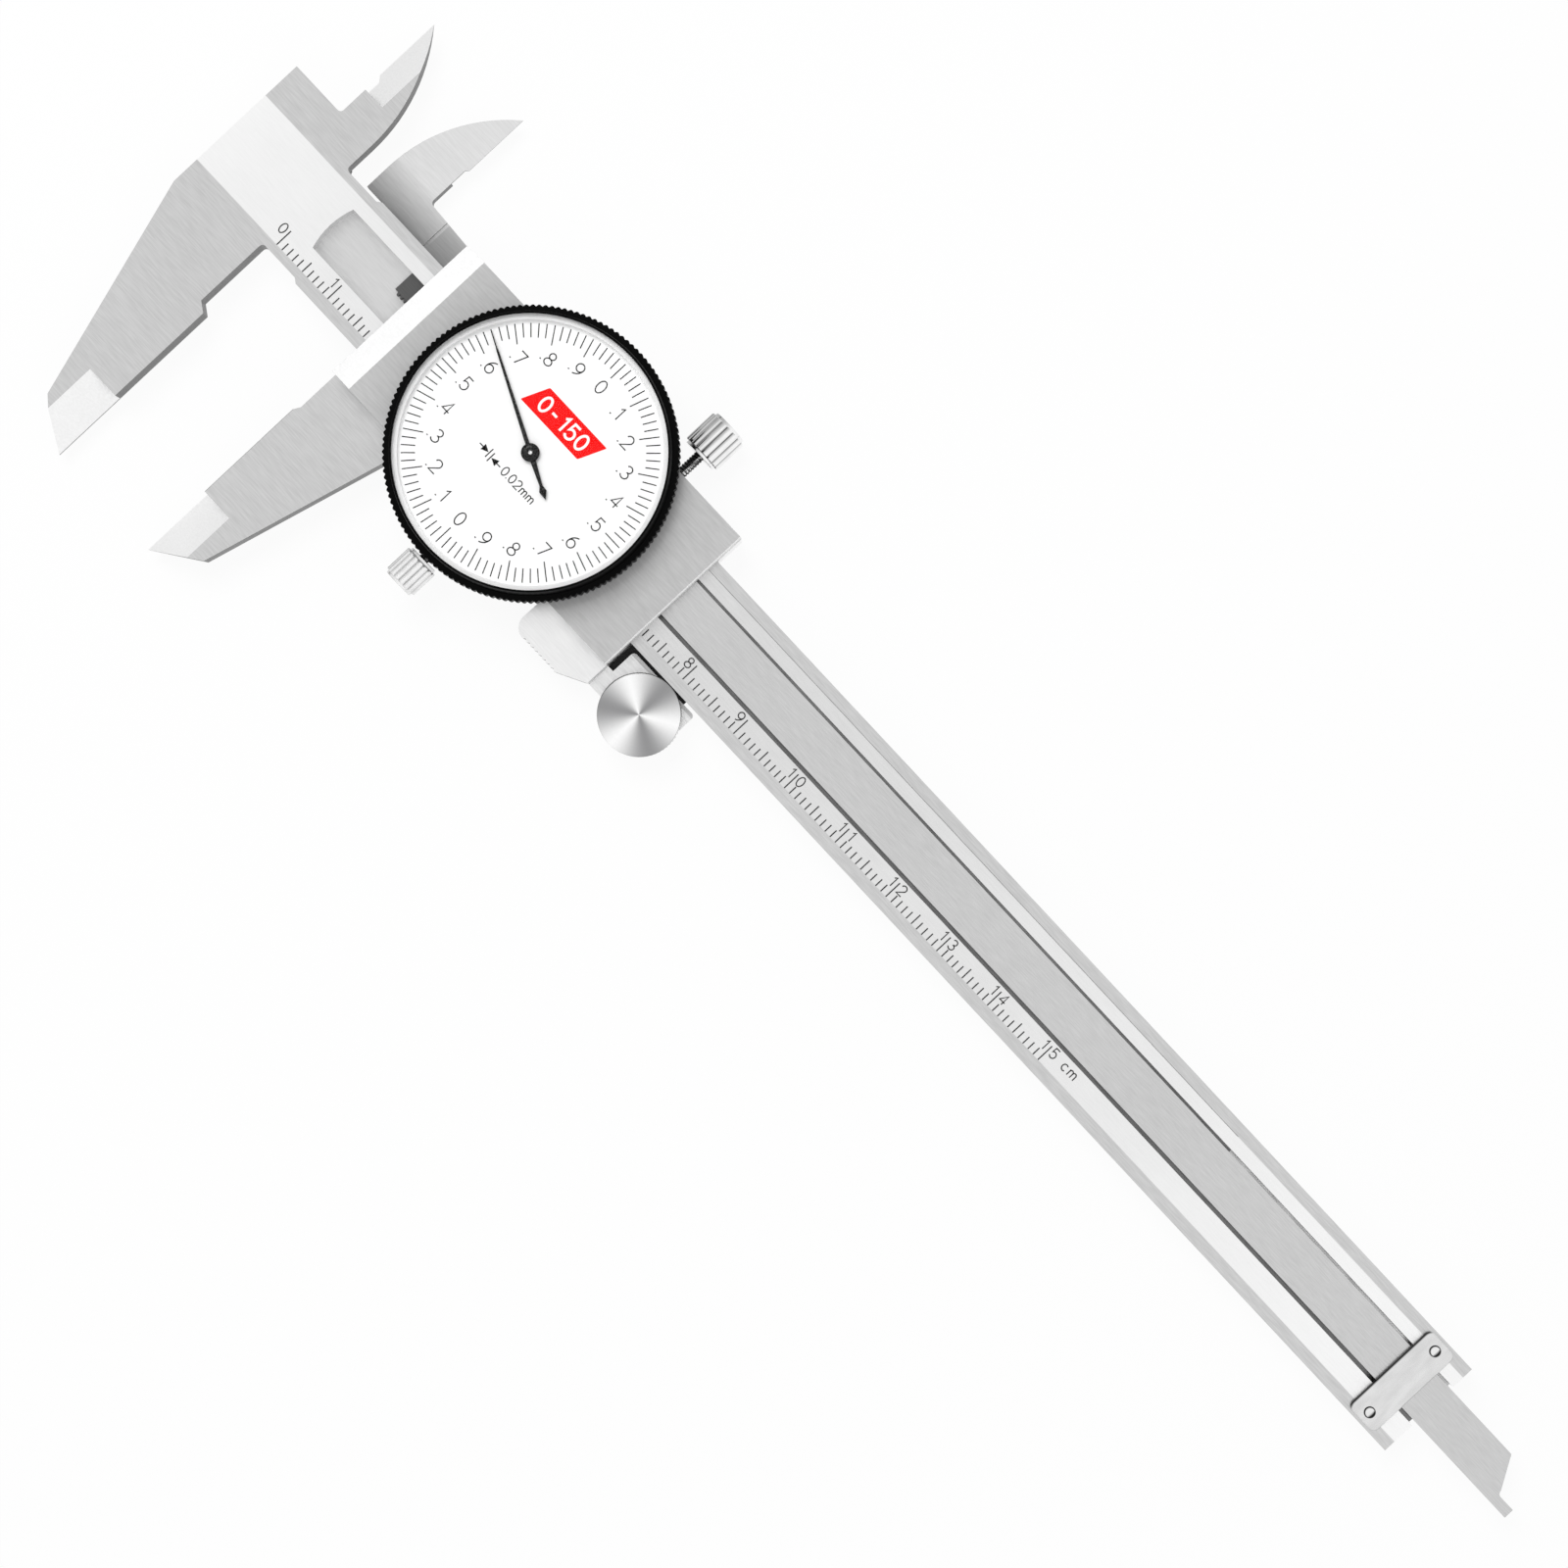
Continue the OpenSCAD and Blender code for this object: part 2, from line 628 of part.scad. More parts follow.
function moving_blade_outline() =
    let (edge = -inner_edge, relief = -inner_edge - inner_relief / 2, y = slider_hw + arm_rise)
    concat([[cut, gib_y], [-head_l, gib_y]],
           blade_arc([-head_l, beam_hw + blade_curve], [edge, top_y]),
           [[edge, inner_face_y], [relief, inner_face_y - inner_relief / 2], [relief, y + fillet_r]],
           arc([relief + fillet_r, y + fillet_r], fillet_r, 180, 270),
           [[0, slider_hw], [cut, slider_hw]]);

// Thumb rest below the right end of the slider, with a row of grip teeth
function rest_outline() =
    let (x0 = slider_l - rest_l, y0 = -slider_hw - rest_drop, n = rest_teeth, w = rest_l * 0.5 / n)
    concat([[slider_l, cut - slider_hw], [x0, cut - slider_hw]],
           arc([x0 + rest_r, y0 + rest_r], rest_r, 180, 270),
           [for (i = [0:n - 1]) let (x = x0 + rest_r + i * w)
            each [[x + w / 2, y0 + w / 3], [x + w, y0]]],
           [[slider_l, -beam_hw - bracket_drop]]);

// Bracket arm behind the roller, standing clear of the slider end
function bracket_outline() =
    let (x0 = slider_l + bracket_gap, x1 = x0 + bracket_w, y1 = -beam_hw - edge_relief,
         y0 = -beam_hw - bracket_drop, r = fillet_r)
    concat([[slider_l - cut, y0], [x1 - 3 * r, y0], [x1, y0 + 3 * r]],
           arc([x1 - r, y1 - r], r, 0, 90), arc([x0 + r, y1 - r], r, 90, 180),
           [[x0, -slider_hw], [slider_l - cut, -slider_hw]]);

module frame_screw_places() {
    for (x = [frame_screw_inset, slider_l - frame_screw_inset], y = [-frame_screw_y, frame_screw_y])
        translate([x, y, back_z]) mirror([0, 0, 1]) children();
}

module along_y(x, y, z) translate([x, y, z]) rotate([-90, 0, 0]) children();

module slider_frame() {
    color("silver") on_slider() difference() {
        union() {
            translate([0, -slider_hw, back_z]) cube([slider_l, 2 * slider_hw, back_t]);
            translate([0, -slider_hw, back_z]) cube([slider_l, slider_hw - gib_y, plate_z - back_z]);
            translate([0, gib_y, back_z]) cube([slider_l, slider_hw - gib_y, plate_z - back_z]);
            linear_extrude(beam_t) polygon(moving_jaw_outline());
            translate([0, 0, blade_z]) linear_extrude(blade_t) polygon(moving_blade_outline());
            translate([0, 0, back_z]) linear_extrude(beam_t - back_z) polygon(rest_outline());
            translate([0, 0, bracket_z]) linear_extrude(bracket_t) polygon(bracket_outline());
        }
        translate([gib_land, gib_y - cut, gib_z - slide_gap])
            cube([slider_l - 2 * gib_land, gib_back - gib_y + cut, plate_z - gib_z + slide_gap + cut]);
        frame_screw_places() flush_hole(screw_r, plate_top - back_z);
        for (x = gib_screw_x)
            along_y(x, gib_y, lock_z) cylinder(r = screw_r + seat_gap, h = slider_wall + cut);
        along_y(lock_x, gib_y, lock_z) cylinder(r = lock_d / 2 + turn_gap, h = slider_wall + cut);
        mirror([1, 0, 0]) across(tip_y - cut, tip_y + knife_l) knife_wedge();
        across(relief_y, top_y + cut)
            polygon([[-inner_edge - blade_bevel, blade_z], [-inner_edge - blade_bevel, blade_z - cut],
                     [cut - inner_edge, blade_z - cut], [cut - inner_edge, blade_front - blade_edge],
                     [-inner_edge, blade_front - blade_edge]]);
        translate([-arm_step_l, gib_y - cut, blade_front - arm_step])
            cube([arm_step_l, slider_wall + arm_rise + 2 * cut, cut]);
        translate([roller_u, roller_y, bracket_z - cut])
            cylinder(r = axle_r + seat_gap, h = bracket_t + 2 * cut);
        leaf_screw_places() translate([0, 0, -cut])
            cylinder(r = fine_r + seat_gap, h = bracket_t + 2 * cut);
    }
}

// Raised front plate with a bevelled end and a lug for the clamp screw
module front_plate() {
    color("lightgray") on_slider() difference() {
        union() {
            across(-slider_hw, slider_hw)
                polygon([[0, plate_z], [slider_l, plate_z], [slider_l, plate_top - plate_chamfer],
                         [slider_l - plate_chamfer, plate_top], [bevel_l, plate_top],
                         [0, plate_z + plate_chamfer]]);
            translate([dial_x - lug_w / 2, lug_end, plate_z])
                cube([lug_w, -slider_hw - lug_end + cut, plate_t]);
        }
        translate([dial_x - arbor_dist, dial_y, 0]) cylinder(r = arbor_bush_r + seat_gap, h = 2 * plate_top);
        frame_screw_places() flush_hole(screw_r, plate_top - back_z - hole_skin);
        depth_screw_places() translate([0, 0, plate_top]) flush_hole(screw_r, plate_t + cut);
        case_screw_places() flush_hole(screw_r, case_floor + plate_t - hole_skin);
        along_y(dial_x, lug_end - cut, clamp_z)
            cylinder(r = clamp_d / 2 + turn_gap, h = -slider_hw - lug_end + cut);
        translate([dial_x, shoe_y, clamp_z]) cylinder(r = shoe_r + seat_gap, h = plate_t);
    }
}

module frame_screws() {
    color("gray") on_slider() frame_screw_places()
        flush_screw(screw_r, plate_top - back_z - 2 * hole_skin);
}

module gib_strip() {
    color("goldenrod") on_slider() translate([gib_land + slide_gap, gib_y, gib_z])
        cube([slider_l - 2 * (gib_land + slide_gap), gib_t, gib_h]);
}

module gib_screws() {
    color("gray") on_slider() for (x = gib_screw_x)
        along_y(x, gib_y + gib_t, lock_z) cylinder(r = screw_r, h = slider_hw - gib_y - gib_t);
}

module depth_screw_places() {
    for (x = depth_screw_x) translate([x, depth_off, 0]) children();
}

function depth_outline() =
    let (y0 = depth_off - depth_w / 2, y1 = depth_off + depth_w / 2, t = y0 + tongue_w,
         x = beam_end - tongue_l, r = fillet_r)
    concat([[depth_start, y0], [beam_end, y0], [beam_end, t]],
           arc([x + r, t + r], r, 270, 180),
           [[x - slant_l, y1], [depth_start, y1]]);

// Depth bar in the groove, with a pad that meets the front plate
module depth_bar() {
    z = beam_t - 2 * slide_gap - depth_t;
    pad_l = depth_screw_x[1] - depth_start + depth_w / 2;
    color("silver") on_slider() difference() {
        union() {
            translate([0, 0, z]) linear_extrude(depth_t) polygon(depth_outline());
            translate([depth_start, depth_off - depth_w / 2, z]) cube([pad_l, depth_w, plate_z - z]);
        }
        depth_screw_places() cylinder(r = screw_r + seat_gap, h = plate_z + cut);
    }
}

module depth_bar_screws() {
    l = plate_top - beam_t + 2 * slide_gap + depth_t;
    color("gray") on_slider() depth_screw_places() translate([0, 0, plate_top]) flush_screw(screw_r, l);
}

module case_screw_places() {
    for (a = [45:90:315])
        translate([dial_x, dial_y, case_top] + case_screw_ring * [cos(a), sin(a), 0]) children();
}

module pillar_places() {
    for (a = [60, 120, 270]) translate(pillar_ring * [cos(a), sin(a), 0]) children();
}

module retainer_screw_places() {
    for (a = [30:120:270])
        translate([0, 0, wall_top + retainer_t] + retainer_screw_ring * [cos(a), sin(a), 0]) children();
}

// Cup that carries the movement
module dial_case() {
    color("dimgray") on_dial() difference() {
        translate([0, 0, plate_top]) cylinder(r = case_r, h = wall_top - plate_top);
        translate([0, 0, case_top]) cylinder(r = case_in, h = wall_top);
        translate([-arbor_dist, 0, 0]) cylinder(r = arbor_bush_r + seat_gap, h = wall_top);
        for (x = [0, arbor_dist]) translate([x, 0, 0]) cylinder(r = bush_r + seat_gap, h = wall_top);
        translate([-dial_x, -dial_y, 0]) case_screw_places() flush_hole(screw_r, case_floor + cut);
        pillar_places() cylinder(r = fine_r + seat_gap, h = wall_top);
        retainer_screw_places() translate([0, 0, -retainer_t - case_wall])
            cylinder(r = fine_r + seat_gap, h = wall_top);
    }
}

module case_screws() {
    color("gray") on_slider() case_screw_places()
        flush_screw(screw_r, case_floor + plate_t - 2 * hole_skin);
}

module arbor_bush() {
    color("goldenrod") on_drive() translate([0, 0, plate_z]) tube(arbor_bush_r, arbor_r + turn_gap, plate_t);
}

// Lower bushes of the centre arbor and of the take-up arbor
module pivot_bushes() {
    color("goldenrod") {
        on_dial() translate([0, 0, plate_top]) tube(bush_r, center_r + turn_gap, case_floor);
        on_takeup() translate([0, 0, plate_top]) tube(bush_r, pivot_r + turn_gap, case_floor);
    }
}

module pillars() {
    color("goldenrod") on_dial() pillar_places() translate([0, 0, case_top])
        tube(pillar_r, fine_r + seat_gap, bridge_z - case_top);
}

module movement_bridge() {
    color("goldenrod") on_dial() difference() {
        translate([0, 0, bridge_z]) cylinder(r = pillar_ring + pillar_r, h = bridge_t);
        for (x = [-arbor_dist, 0, arbor_dist])
            translate([x, 0, 0]) cylinder(r = bush_r + seat_gap, h = 2 * wall_top);
        pillar_places() cylinder(r = fine_r + seat_gap, h = 2 * wall_top);
        translate([arbor_dist + stud_ring, 0, 0]) cylinder(r = stud_r + seat_gap, h = 2 * wall_top);
        translate([0, -arbor_dist, 0]) cylinder(r = arbor_dist / 2, h = 2 * wall_top);
    }
}

module bridge_bushes() {
    color("goldenrod") on_dial() translate([0, 0, bridge_z]) {
        tube(bush_r, center_r + turn_gap, bridge_t);
        for (x = [-arbor_dist, arbor_dist]) translate([x, 0, 0]) tube(bush_r, pivot_r + turn_gap, bridge_t);
    }
}

// Cheese-head screws through the bridge and its pillars
module bridge_screws() {
    color("gray") on_dial() pillar_places() {
        translate([0, 0, plate_top]) cylinder(r = fine_r, h = wall_top - plate_top);
        translate([0, 0, wall_top]) cylinder(r = 2 * fine_r, h = retainer_t);
    }
}

function spiral(r0, r1, turns, off, n) =
    [for (i = [0:n]) let (r = r0 + (r1 - r0) * i / n + off, a = 360 * turns * i / n) r * [cos(a), sin(a)]];

// Flat spiral that loads the take-up wheel
module hairspring() {
    n = 24 * hair_turns;
    color("steelblue") on_takeup() translate([0, 0, hair_z]) linear_extrude(hair_h)
        polygon(concat(spiral(hair_r0, hair_r1, hair_turns, -hair_t / 2, n),
                       reversed(spiral(hair_r0, hair_r1, hair_turns, hair_t / 2, n))));
}

module hairspring_stud() {
    color("goldenrod") on_takeup() translate([stud_ring, 0, hair_z])
        cylinder(r = stud_r, h = wall_top - hair_z);
}

module bezel_retainer() {
    color("gray") on_dial() difference() {
        translate([0, 0, wall_top]) tube(retainer_bore - turn_gap, case_in, retainer_t);
        retainer_screw_places() cylinder(r = fine_r + seat_gap, h = 4 * retainer_t, center = true);
    }
}

module retainer_screws() {
    color("silver") on_dial() retainer_screw_places()
        translate([0, 0, -retainer_t - case_wall]) cylinder(r = fine_r, h = retainer_t + case_wall);
}

// Shoe that the clamp screw lifts against the bezel
module clamp_shoe() {
    z = clamp_z + clamp_d / 2 + turn_gap;
    color("goldenrod") on_slider() translate([dial_x, shoe_y, z])
        cylinder(r = shoe_r, h = bezel_z - turn_gap - z);
}

module leaf_screw_places() {
    x = (slider_l + bracket_gap + roller_u - 2 * axle_r) / 2;
    for (y = [roller_y, roller_y + 3 * axle_r]) translate([x, y, bracket_z]) children();
}

// Blackened leaf under the bracket arm
module leaf_spring() {
    x1 = roller_u + roller_r / 2;
    color("black") on_slider() difference() {
        translate([slider_l, -beam_hw - bracket_drop + fillet_r, back_z])
            cube([x1 - slider_l, bracket_drop, leaf_t]);
        leaf_screw_places() translate([0, 0, -leaf_t - cut])
            cylinder(r = fine_r + seat_gap, h = leaf_t + 2 * cut);
        translate([roller_u, roller_y, back_z - cut]) cylinder(r = axle_r + seat_gap, h = leaf_t + 2 * cut);
    }
}

module leaf_screws() {
    color("gray") on_slider() leaf_screw_places() translate([0, 0, -leaf_t])
        cylinder(r = fine_r, h = leaf_t + bracket_t);
}

// Pin in the bracket arm, with a shoulder under the wheel
module roller_axle() {
    shoulder = bracket_z + bracket_t;
    color("gray") on_roller() {
        translate([0, 0, back_z]) cylinder(r = axle_r, h = wheel_z + roller_h - turn_gap - back_z);
        translate([0, 0, shoulder]) cylinder(r = 2 * axle_r, h = wheel_z - turn_gap - shoulder);
    }
}

module roller_clip() {
    color("dimgray") on_roller() translate([0, 0, wheel_z + roller_h - clip_room + turn_gap])
        tube(axle_r + clip_room, axle_r + seat_gap, clip_t);
}

// Arbor of the rack pinion, with the hub of the drive wheel
module drive_arbor() {
    z = groove_floor + pinion_gap;
    color("silver") on_drive() {
        translate([0, 0, z]) cylinder(r = arbor_r, h = bridge_z - turn_gap - z);
        translate([0, 0, z]) cylinder(r = pivot_r, h = wall_top - turn_gap - z);
        translate([0, 0, plate_top + turn_gap]) cylinder(r = 2 * arbor_r, h = gear_z - plate_top - turn_gap);
    }
}

module rack_pinion() {
    color("silver") on_drive() rotate(drive_turn) translate([0, 0, groove_floor + pinion_gap]) difference() {
        linear_extrude(rack_t) polygon(gear_points(pinion_teeth));
        translate([0, 0, -cut]) cylinder(r = arbor_r + seat_gap, h = rack_t + 2 * cut);
    }
}

module train_wheel() {
    translate([0, 0, gear_z]) difference() {
        linear_extrude(gear_t) polygon(gear_points(wheel_teeth));
        translate([0, 0, -cut]) cylinder(r = arbor_r + seat_gap, h = gear_t + 2 * cut);
        for (a = [0:90:270]) rotate(a) translate([arbor_dist / 2, 0, -cut])
            cylinder(r = arbor_dist / 6, h = gear_t + 2 * cut);
    }
}

module drive_wheel() {
    color("goldenrod") on_drive() rotate(drive_turn) train_wheel();
}

// Centre arbor cut in one piece with its pinion, a gap facing each wheel when the jaws are closed
module center_arbor() {
    tall = gear_room / 4;
    color("silver") on_dial() rotate(pointer_turn) {
        translate([0, 0, plate_top + turn_gap])
            cylinder(r = center_r, h = pointer_z + pointer_t + cap_t - plate_top - turn_gap);
        rotate(180 / center_teeth) translate([0, 0, gear_z - tall]) linear_extrude(gear_t + 2 * tall)
            polygon(gear_points(center_teeth));
    }
}

// Needle with a spade tail, pointing to +Y at a reading of zero
module pointer() {
    tip = pointer_hw / 3;
    neck = -pointer_tail * 0.72;
    spade = -pointer_tail * 0.82;
    color("black") on_dial() rotate(pointer_turn) translate([0, 0, pointer_z]) difference() {
        union() {
            cylinder(r = hub_r, h = pointer_t);
            linear_extrude(pointer_t)
                polygon([[-pointer_hw, 0], [-tip, pointer_l], [tip, pointer_l], [pointer_hw, 0],
                         [pointer_hw, neck], [spade_hw, spade], [0, -pointer_tail],
                         [-spade_hw, spade], [-pointer_hw, neck]]);
        }
        translate([0, 0, -cut]) cylinder(r = hub_r / 2 + seat_gap, h = pointer_t + 2 * cut);
    }
}

module pointer_hub() {
    color("silver") on_dial() difference() {
        union() {
            translate([0, 0, pointer_z - cap_t]) cylinder(r = hub_r / 2, h = pointer_t + cap_t);
            translate([0, 0, pointer_z + pointer_t]) cylinder(r = hub_r, h = cap_t);
        }
        cylinder(r = center_r + seat_gap, h = 2 * pointer_z);
    }
}

module takeup_arbor() {
    color("silver") on_takeup() {
        translate([0, 0, plate_top + turn_gap])
            cylinder(r = pivot_r, h = wall_top - plate_top - 2 * turn_gap);
        translate([0, 0, case_top + turn_gap]) cylinder(r = arbor_r, h = bridge_z - case_top - 2 * turn_gap);
        translate([0, 0, case_top + turn_gap]) cylinder(r = 2 * arbor_r, h = gear_z - case_top - turn_gap);
        translate([0, 0, gear_z + gear_t]) cylinder(r = collet_r, h = hair_room - turn_gap);
    }
}

module takeup_wheel() {
    color("goldenrod") on_takeup() rotate(drive_turn) train_wheel();
}

// Knurled ring with a seat for the dial face and a lip over the crystal
module bezel() {
    step = wall_top - turn_gap;
    color("black") on_dial() difference() {
        union() {
            translate([0, 0, bezel_z]) linear_extrude(knurl_h)
                polygon(toothed_ring(bezel_r, knurl_depth, bezel_teeth));
            translate([0, 0, bezel_z + knurl_h])
                cylinder(r1 = ring_r, r2 = ring_r - ring_wall + lip_w, h = bezel_top - bezel_z - knurl_h);
        }
        rotate_extrude()
            polygon([[0, 0], [bezel_bore, 0], [bezel_bore, step], [retainer_bore, step],
                     [retainer_bore, dial_z], [dial_bore, dial_z], [dial_bore, lip_z],
                     [dial_bore - lip_w, lip_z],
                     [dial_bore - lip_w, bezel_top + cut], [0, bezel_top + cut]]);
    }
}

module dial_face() {
    color("white") on_dial() translate([0, 0, dial_z]) tube(dial_bore - seat_gap, dial_hole_r, dial_t);
}

module dial_rim() {
    color("lightgray") on_dial() translate([0, 0, rim_z])
        tube(dial_bore - seat_gap, dial_bore - rim_w, rim_h);
}

module crystal() {
    color("aliceblue", 0.3) on_dial() translate([0, 0, crystal_z])
        cylinder(r = dial_bore - seat_gap, h = crystal_t);
}

module lock_screw() {
    color("silver") on_slider() along_y(lock_x, lock_tip, lock_z) {
        cylinder(d = lock_d, h = slider_hw + lock_neck - lock_tip);
        translate([0, 0, slider_hw + lock_neck - lock_tip]) fluted_head(lock_head_d, lock_head_l);
    }
}

module clamp_screw() {
    head = clamp_y - air_gap;
    color("silver") on_slider() translate([dial_x, head, clamp_z]) rotate([90, 0, 0]) {
        translate([0, 0, head + slider_hw + turn_gap])
            cylinder(d = clamp_d, h = -head - slider_hw - turn_gap);
        fluted_head(clamp_head_d, clamp_head_l);
    }
}

module thumb_roller() {
    color("silver") on_roller() translate([0, 0, wheel_z]) difference() {
        linear_extrude(roller_h) polygon(toothed_ring(roller_r, roller_knurl, roller_teeth));
        translate([0, 0, -cut]) cylinder(r = axle_r + turn_gap, h = roller_h + 2 * cut);
        translate([0, 0, roller_h - clip_room]) cylinder(r = axle_r + clip_room + air_gap, h = roller_h);
    }
}

module roller_cap() {
    r = roller_r - cap_inset;
    color("whitesmoke") on_roller() translate([0, 0, wheel_z + roller_h]) rotate_extrude()
        polygon([[0, 0], [r, 0], [r, cap_h / 2], [r - cap_h / 2, cap_h], [0, cap_h]]);
}

beam();
rack();
rack_pins();
end_stop_plate();
end_stop_screws();
slider_frame();
front_plate();
frame_screws();
gib_strip();
gib_screws();
depth_bar();
depth_bar_screws();
dial_case();
case_screws();
arbor_bush();
pivot_bushes();
pillars();
movement_bridge();
bridge_bushes();
bridge_screws();
hairspring();
hairspring_stud();
bezel_retainer();
retainer_screws();
clamp_shoe();
leaf_spring();
leaf_screws();
roller_axle();
roller_clip();
drive_arbor();
rack_pinion();
drive_wheel();
center_arbor();
pointer();
pointer_hub();
takeup_arbor();
takeup_wheel();
bezel();
dial_face();
dial_rim();
crystal();
lock_screw();
clamp_screw();
thumb_roller();
roller_cap();
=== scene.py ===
"""Dial caliper: finishes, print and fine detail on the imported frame, with its light and camera.

Lengths in the classes are millimetres in the sketch frame of the part: X from the fixed measuring
face, Y from the middle of the beam, Z from the back of the beam. Datum turns them into the frame.
"""

import json
import logging
import math
from dataclasses import dataclass, field
from enum import Enum
from functools import partial, reduce
from typing import Any, Optional, Sequence

import bmesh
import bpy
import numpy as np
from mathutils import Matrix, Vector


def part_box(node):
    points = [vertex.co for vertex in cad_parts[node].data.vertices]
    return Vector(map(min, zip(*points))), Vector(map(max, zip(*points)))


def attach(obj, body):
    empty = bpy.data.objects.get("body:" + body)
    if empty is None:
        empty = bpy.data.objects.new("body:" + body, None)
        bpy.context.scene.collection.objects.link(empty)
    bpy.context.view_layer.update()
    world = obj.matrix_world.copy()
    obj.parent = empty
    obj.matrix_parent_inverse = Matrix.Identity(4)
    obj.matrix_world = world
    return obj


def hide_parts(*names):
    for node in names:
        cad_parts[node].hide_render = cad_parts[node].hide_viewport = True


LOG = logging.getLogger("dial_caliper")
MM = 0.001

Array = np.ndarray
Pair = tuple[float, float]
Triple = tuple[float, float, float]
Piece = bpy.types.Object
Material = bpy.types.Material
Socket = bpy.types.NodeSocket
Node = bpy.types.Node
Tree = bpy.types.NodeTree

# Places in sketch millimetres that several classes share
RULE_FACE = 3.5
SLIDER_END = 71.4
DIAL_CENTRE: Pair = (44.64, -0.5)
ROLLER_CENTRE: Pair = (79.5, -13.8)

# X and Z of the axes of the two lying screws, and the radii of their heads
LOCK_AXIS: Pair = (59.44, 1.75)
LOCK_HEAD_R = 3.0
CLAMP_AXIS: Pair = (44.64, 4.825)
CLAMP_HEAD_R = 2.55

NOUGHT: Triple = (0.0, 0.0, 0.0)
WHITE = (1.0, 1.0, 1.0, 1.0)
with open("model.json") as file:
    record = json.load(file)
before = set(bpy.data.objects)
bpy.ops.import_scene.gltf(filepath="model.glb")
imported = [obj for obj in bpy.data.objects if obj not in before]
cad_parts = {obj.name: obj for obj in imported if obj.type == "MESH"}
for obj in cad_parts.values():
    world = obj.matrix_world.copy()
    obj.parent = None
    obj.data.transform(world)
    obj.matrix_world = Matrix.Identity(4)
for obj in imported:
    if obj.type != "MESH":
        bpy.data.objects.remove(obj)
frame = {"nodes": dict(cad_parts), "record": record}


class Body(str, Enum):
    """Bodies of the frame that pieces ride on."""

    BEAM = "beam"
    SLIDER = "slider"
    HAND = "hand"
    BEZEL = "bezel"
    LOCK = "lock_screw"
    CLAMP = "clamp_screw"
    ROLLER = "roller"


class Axis(Enum):
    """Ways a lying screw can point; each value holds the frame directions of its own x, y and z."""

    TOWARDS_BACK_EDGE = ((0, 0, 1), (1, 0, 0), (0, 1, 0))
    TOWARDS_FRONT_EDGE = ((1, 0, 0), (0, 0, 1), (0, -1, 0))

    def matrix(self) -> Array:
        """Rows are the frame directions of the piece's own axes."""
        return np.array(self.value, dtype=float)


@dataclass(frozen=True)
class Datum:
    """Place of the sketch frame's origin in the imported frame, in metres."""

    origin: Triple

    @classmethod
    def read(cls) -> "Datum":
        """Take the origin from the fixed jaw's face, the end stop's middle and the rule face.

        Returns:
            The datum of this frame.
        """
        mounts = {mount["name"]: mount["pos_m"] for mount in frame["record"]["mounts"]}
        low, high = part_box("end_stop_plate")
        return cls((mounts["fixed_jaw_face"][0], (low[1] + high[1]) / 2, low[2] - RULE_FACE * MM))

    def box(self, node: str) -> Array:
        """Low and high corner of a CAD node in sketch millimetres."""
        return (np.array(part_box(node), dtype=float) - np.array(self.origin)) / MM

    def place(self, points: Array) -> Array:
        """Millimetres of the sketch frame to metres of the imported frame."""
        return np.asarray(points, dtype=float) * MM + np.array(self.origin)


DATUM = Datum.read()


def turn_angles(count: int) -> Array:
    """Equal steps round one full turn, in radians."""
    return np.linspace(0.0, 2.0 * np.pi, count, endpoint=False)


def grid_cells(rows: int, cols: int, wrap_rows: bool) -> Array:
    """Corner numbers of each cell of a grid of points whose last column joins the first.

    Args:
        rows: points along the first parameter.
        cols: points along the second parameter.
        wrap_rows: join the last row to the first.

    Returns:
        One row of four corner numbers for each cell.
    """
    first = np.arange(rows if wrap_rows else rows - 1)
    i, j = np.meshgrid(first, np.arange(cols), indexing="ij")
    i_next, j_next = (i + 1) % rows, (j + 1) % cols
    corners = [i * cols + j, i_next * cols + j, i_next * cols + j_next, i * cols + j_next]
    return np.stack(corners, axis=-1).reshape(-1, 4)


def turned(profile: Array, angles: Array, swell: Optional[Array] = None) -> Array:
    """Surface of a profile carried round its axis.

    A point of radius r and height h goes to (r cos a, r sin a, h) at each angle a, and swell is
    added to r where it is given, so that flutes, knurls and threads follow the same formula.

    Args:
        profile: rows of radius and height.
        angles: angles round the axis, in radians.
        swell: change of radius for each profile point and angle.

    Returns:
        Grid of points, profile points by angles by three.
    """
    radius = np.repeat(profile[:, :1], len(angles), axis=1)
    if swell is not None:
        radius = radius + swell
    height = np.repeat(profile[:, 1:2], len(angles), axis=1)
    return np.stack([radius * np.cos(angles), radius * np.sin(angles), height], axis=-1)


def rounded_profile(corners: Sequence[Pair], radius: float, steps: int = 3) -> Array:
    """Closed outline whose corners are rounded by short curves.

    Each corner point is replaced by a quadratic curve from a point at radius before it to one at
    radius behind it, no further than a third of either side.

    Args:
        corners: corner points in order round the outline.
        radius: distance from the corner at which the curve starts.
        steps: pieces of each curve.

    Returns:
        Points of the rounded outline in the same order.
    """
    here = np.array(corners, dtype=float)
    before, after = np.roll(here, 1, axis=0), np.roll(here, -1, axis=0)
    back, ahead = before - here, after - here
    back_len = np.linalg.norm(back, axis=1, keepdims=True)
    ahead_len = np.linalg.norm(ahead, axis=1, keepdims=True)
    reach = np.minimum(radius, np.minimum(back_len, ahead_len) / 3)
    start, end = here + back / back_len * reach, here + ahead / ahead_len * reach
    t = np.linspace(0.0, 1.0, steps + 1)[None, :, None]
    curve = (1 - t) ** 2 * start[:, None] + 2 * t * (1 - t) * here[:, None] + t**2 * end[:, None]
    return curve.reshape(-1, 2)


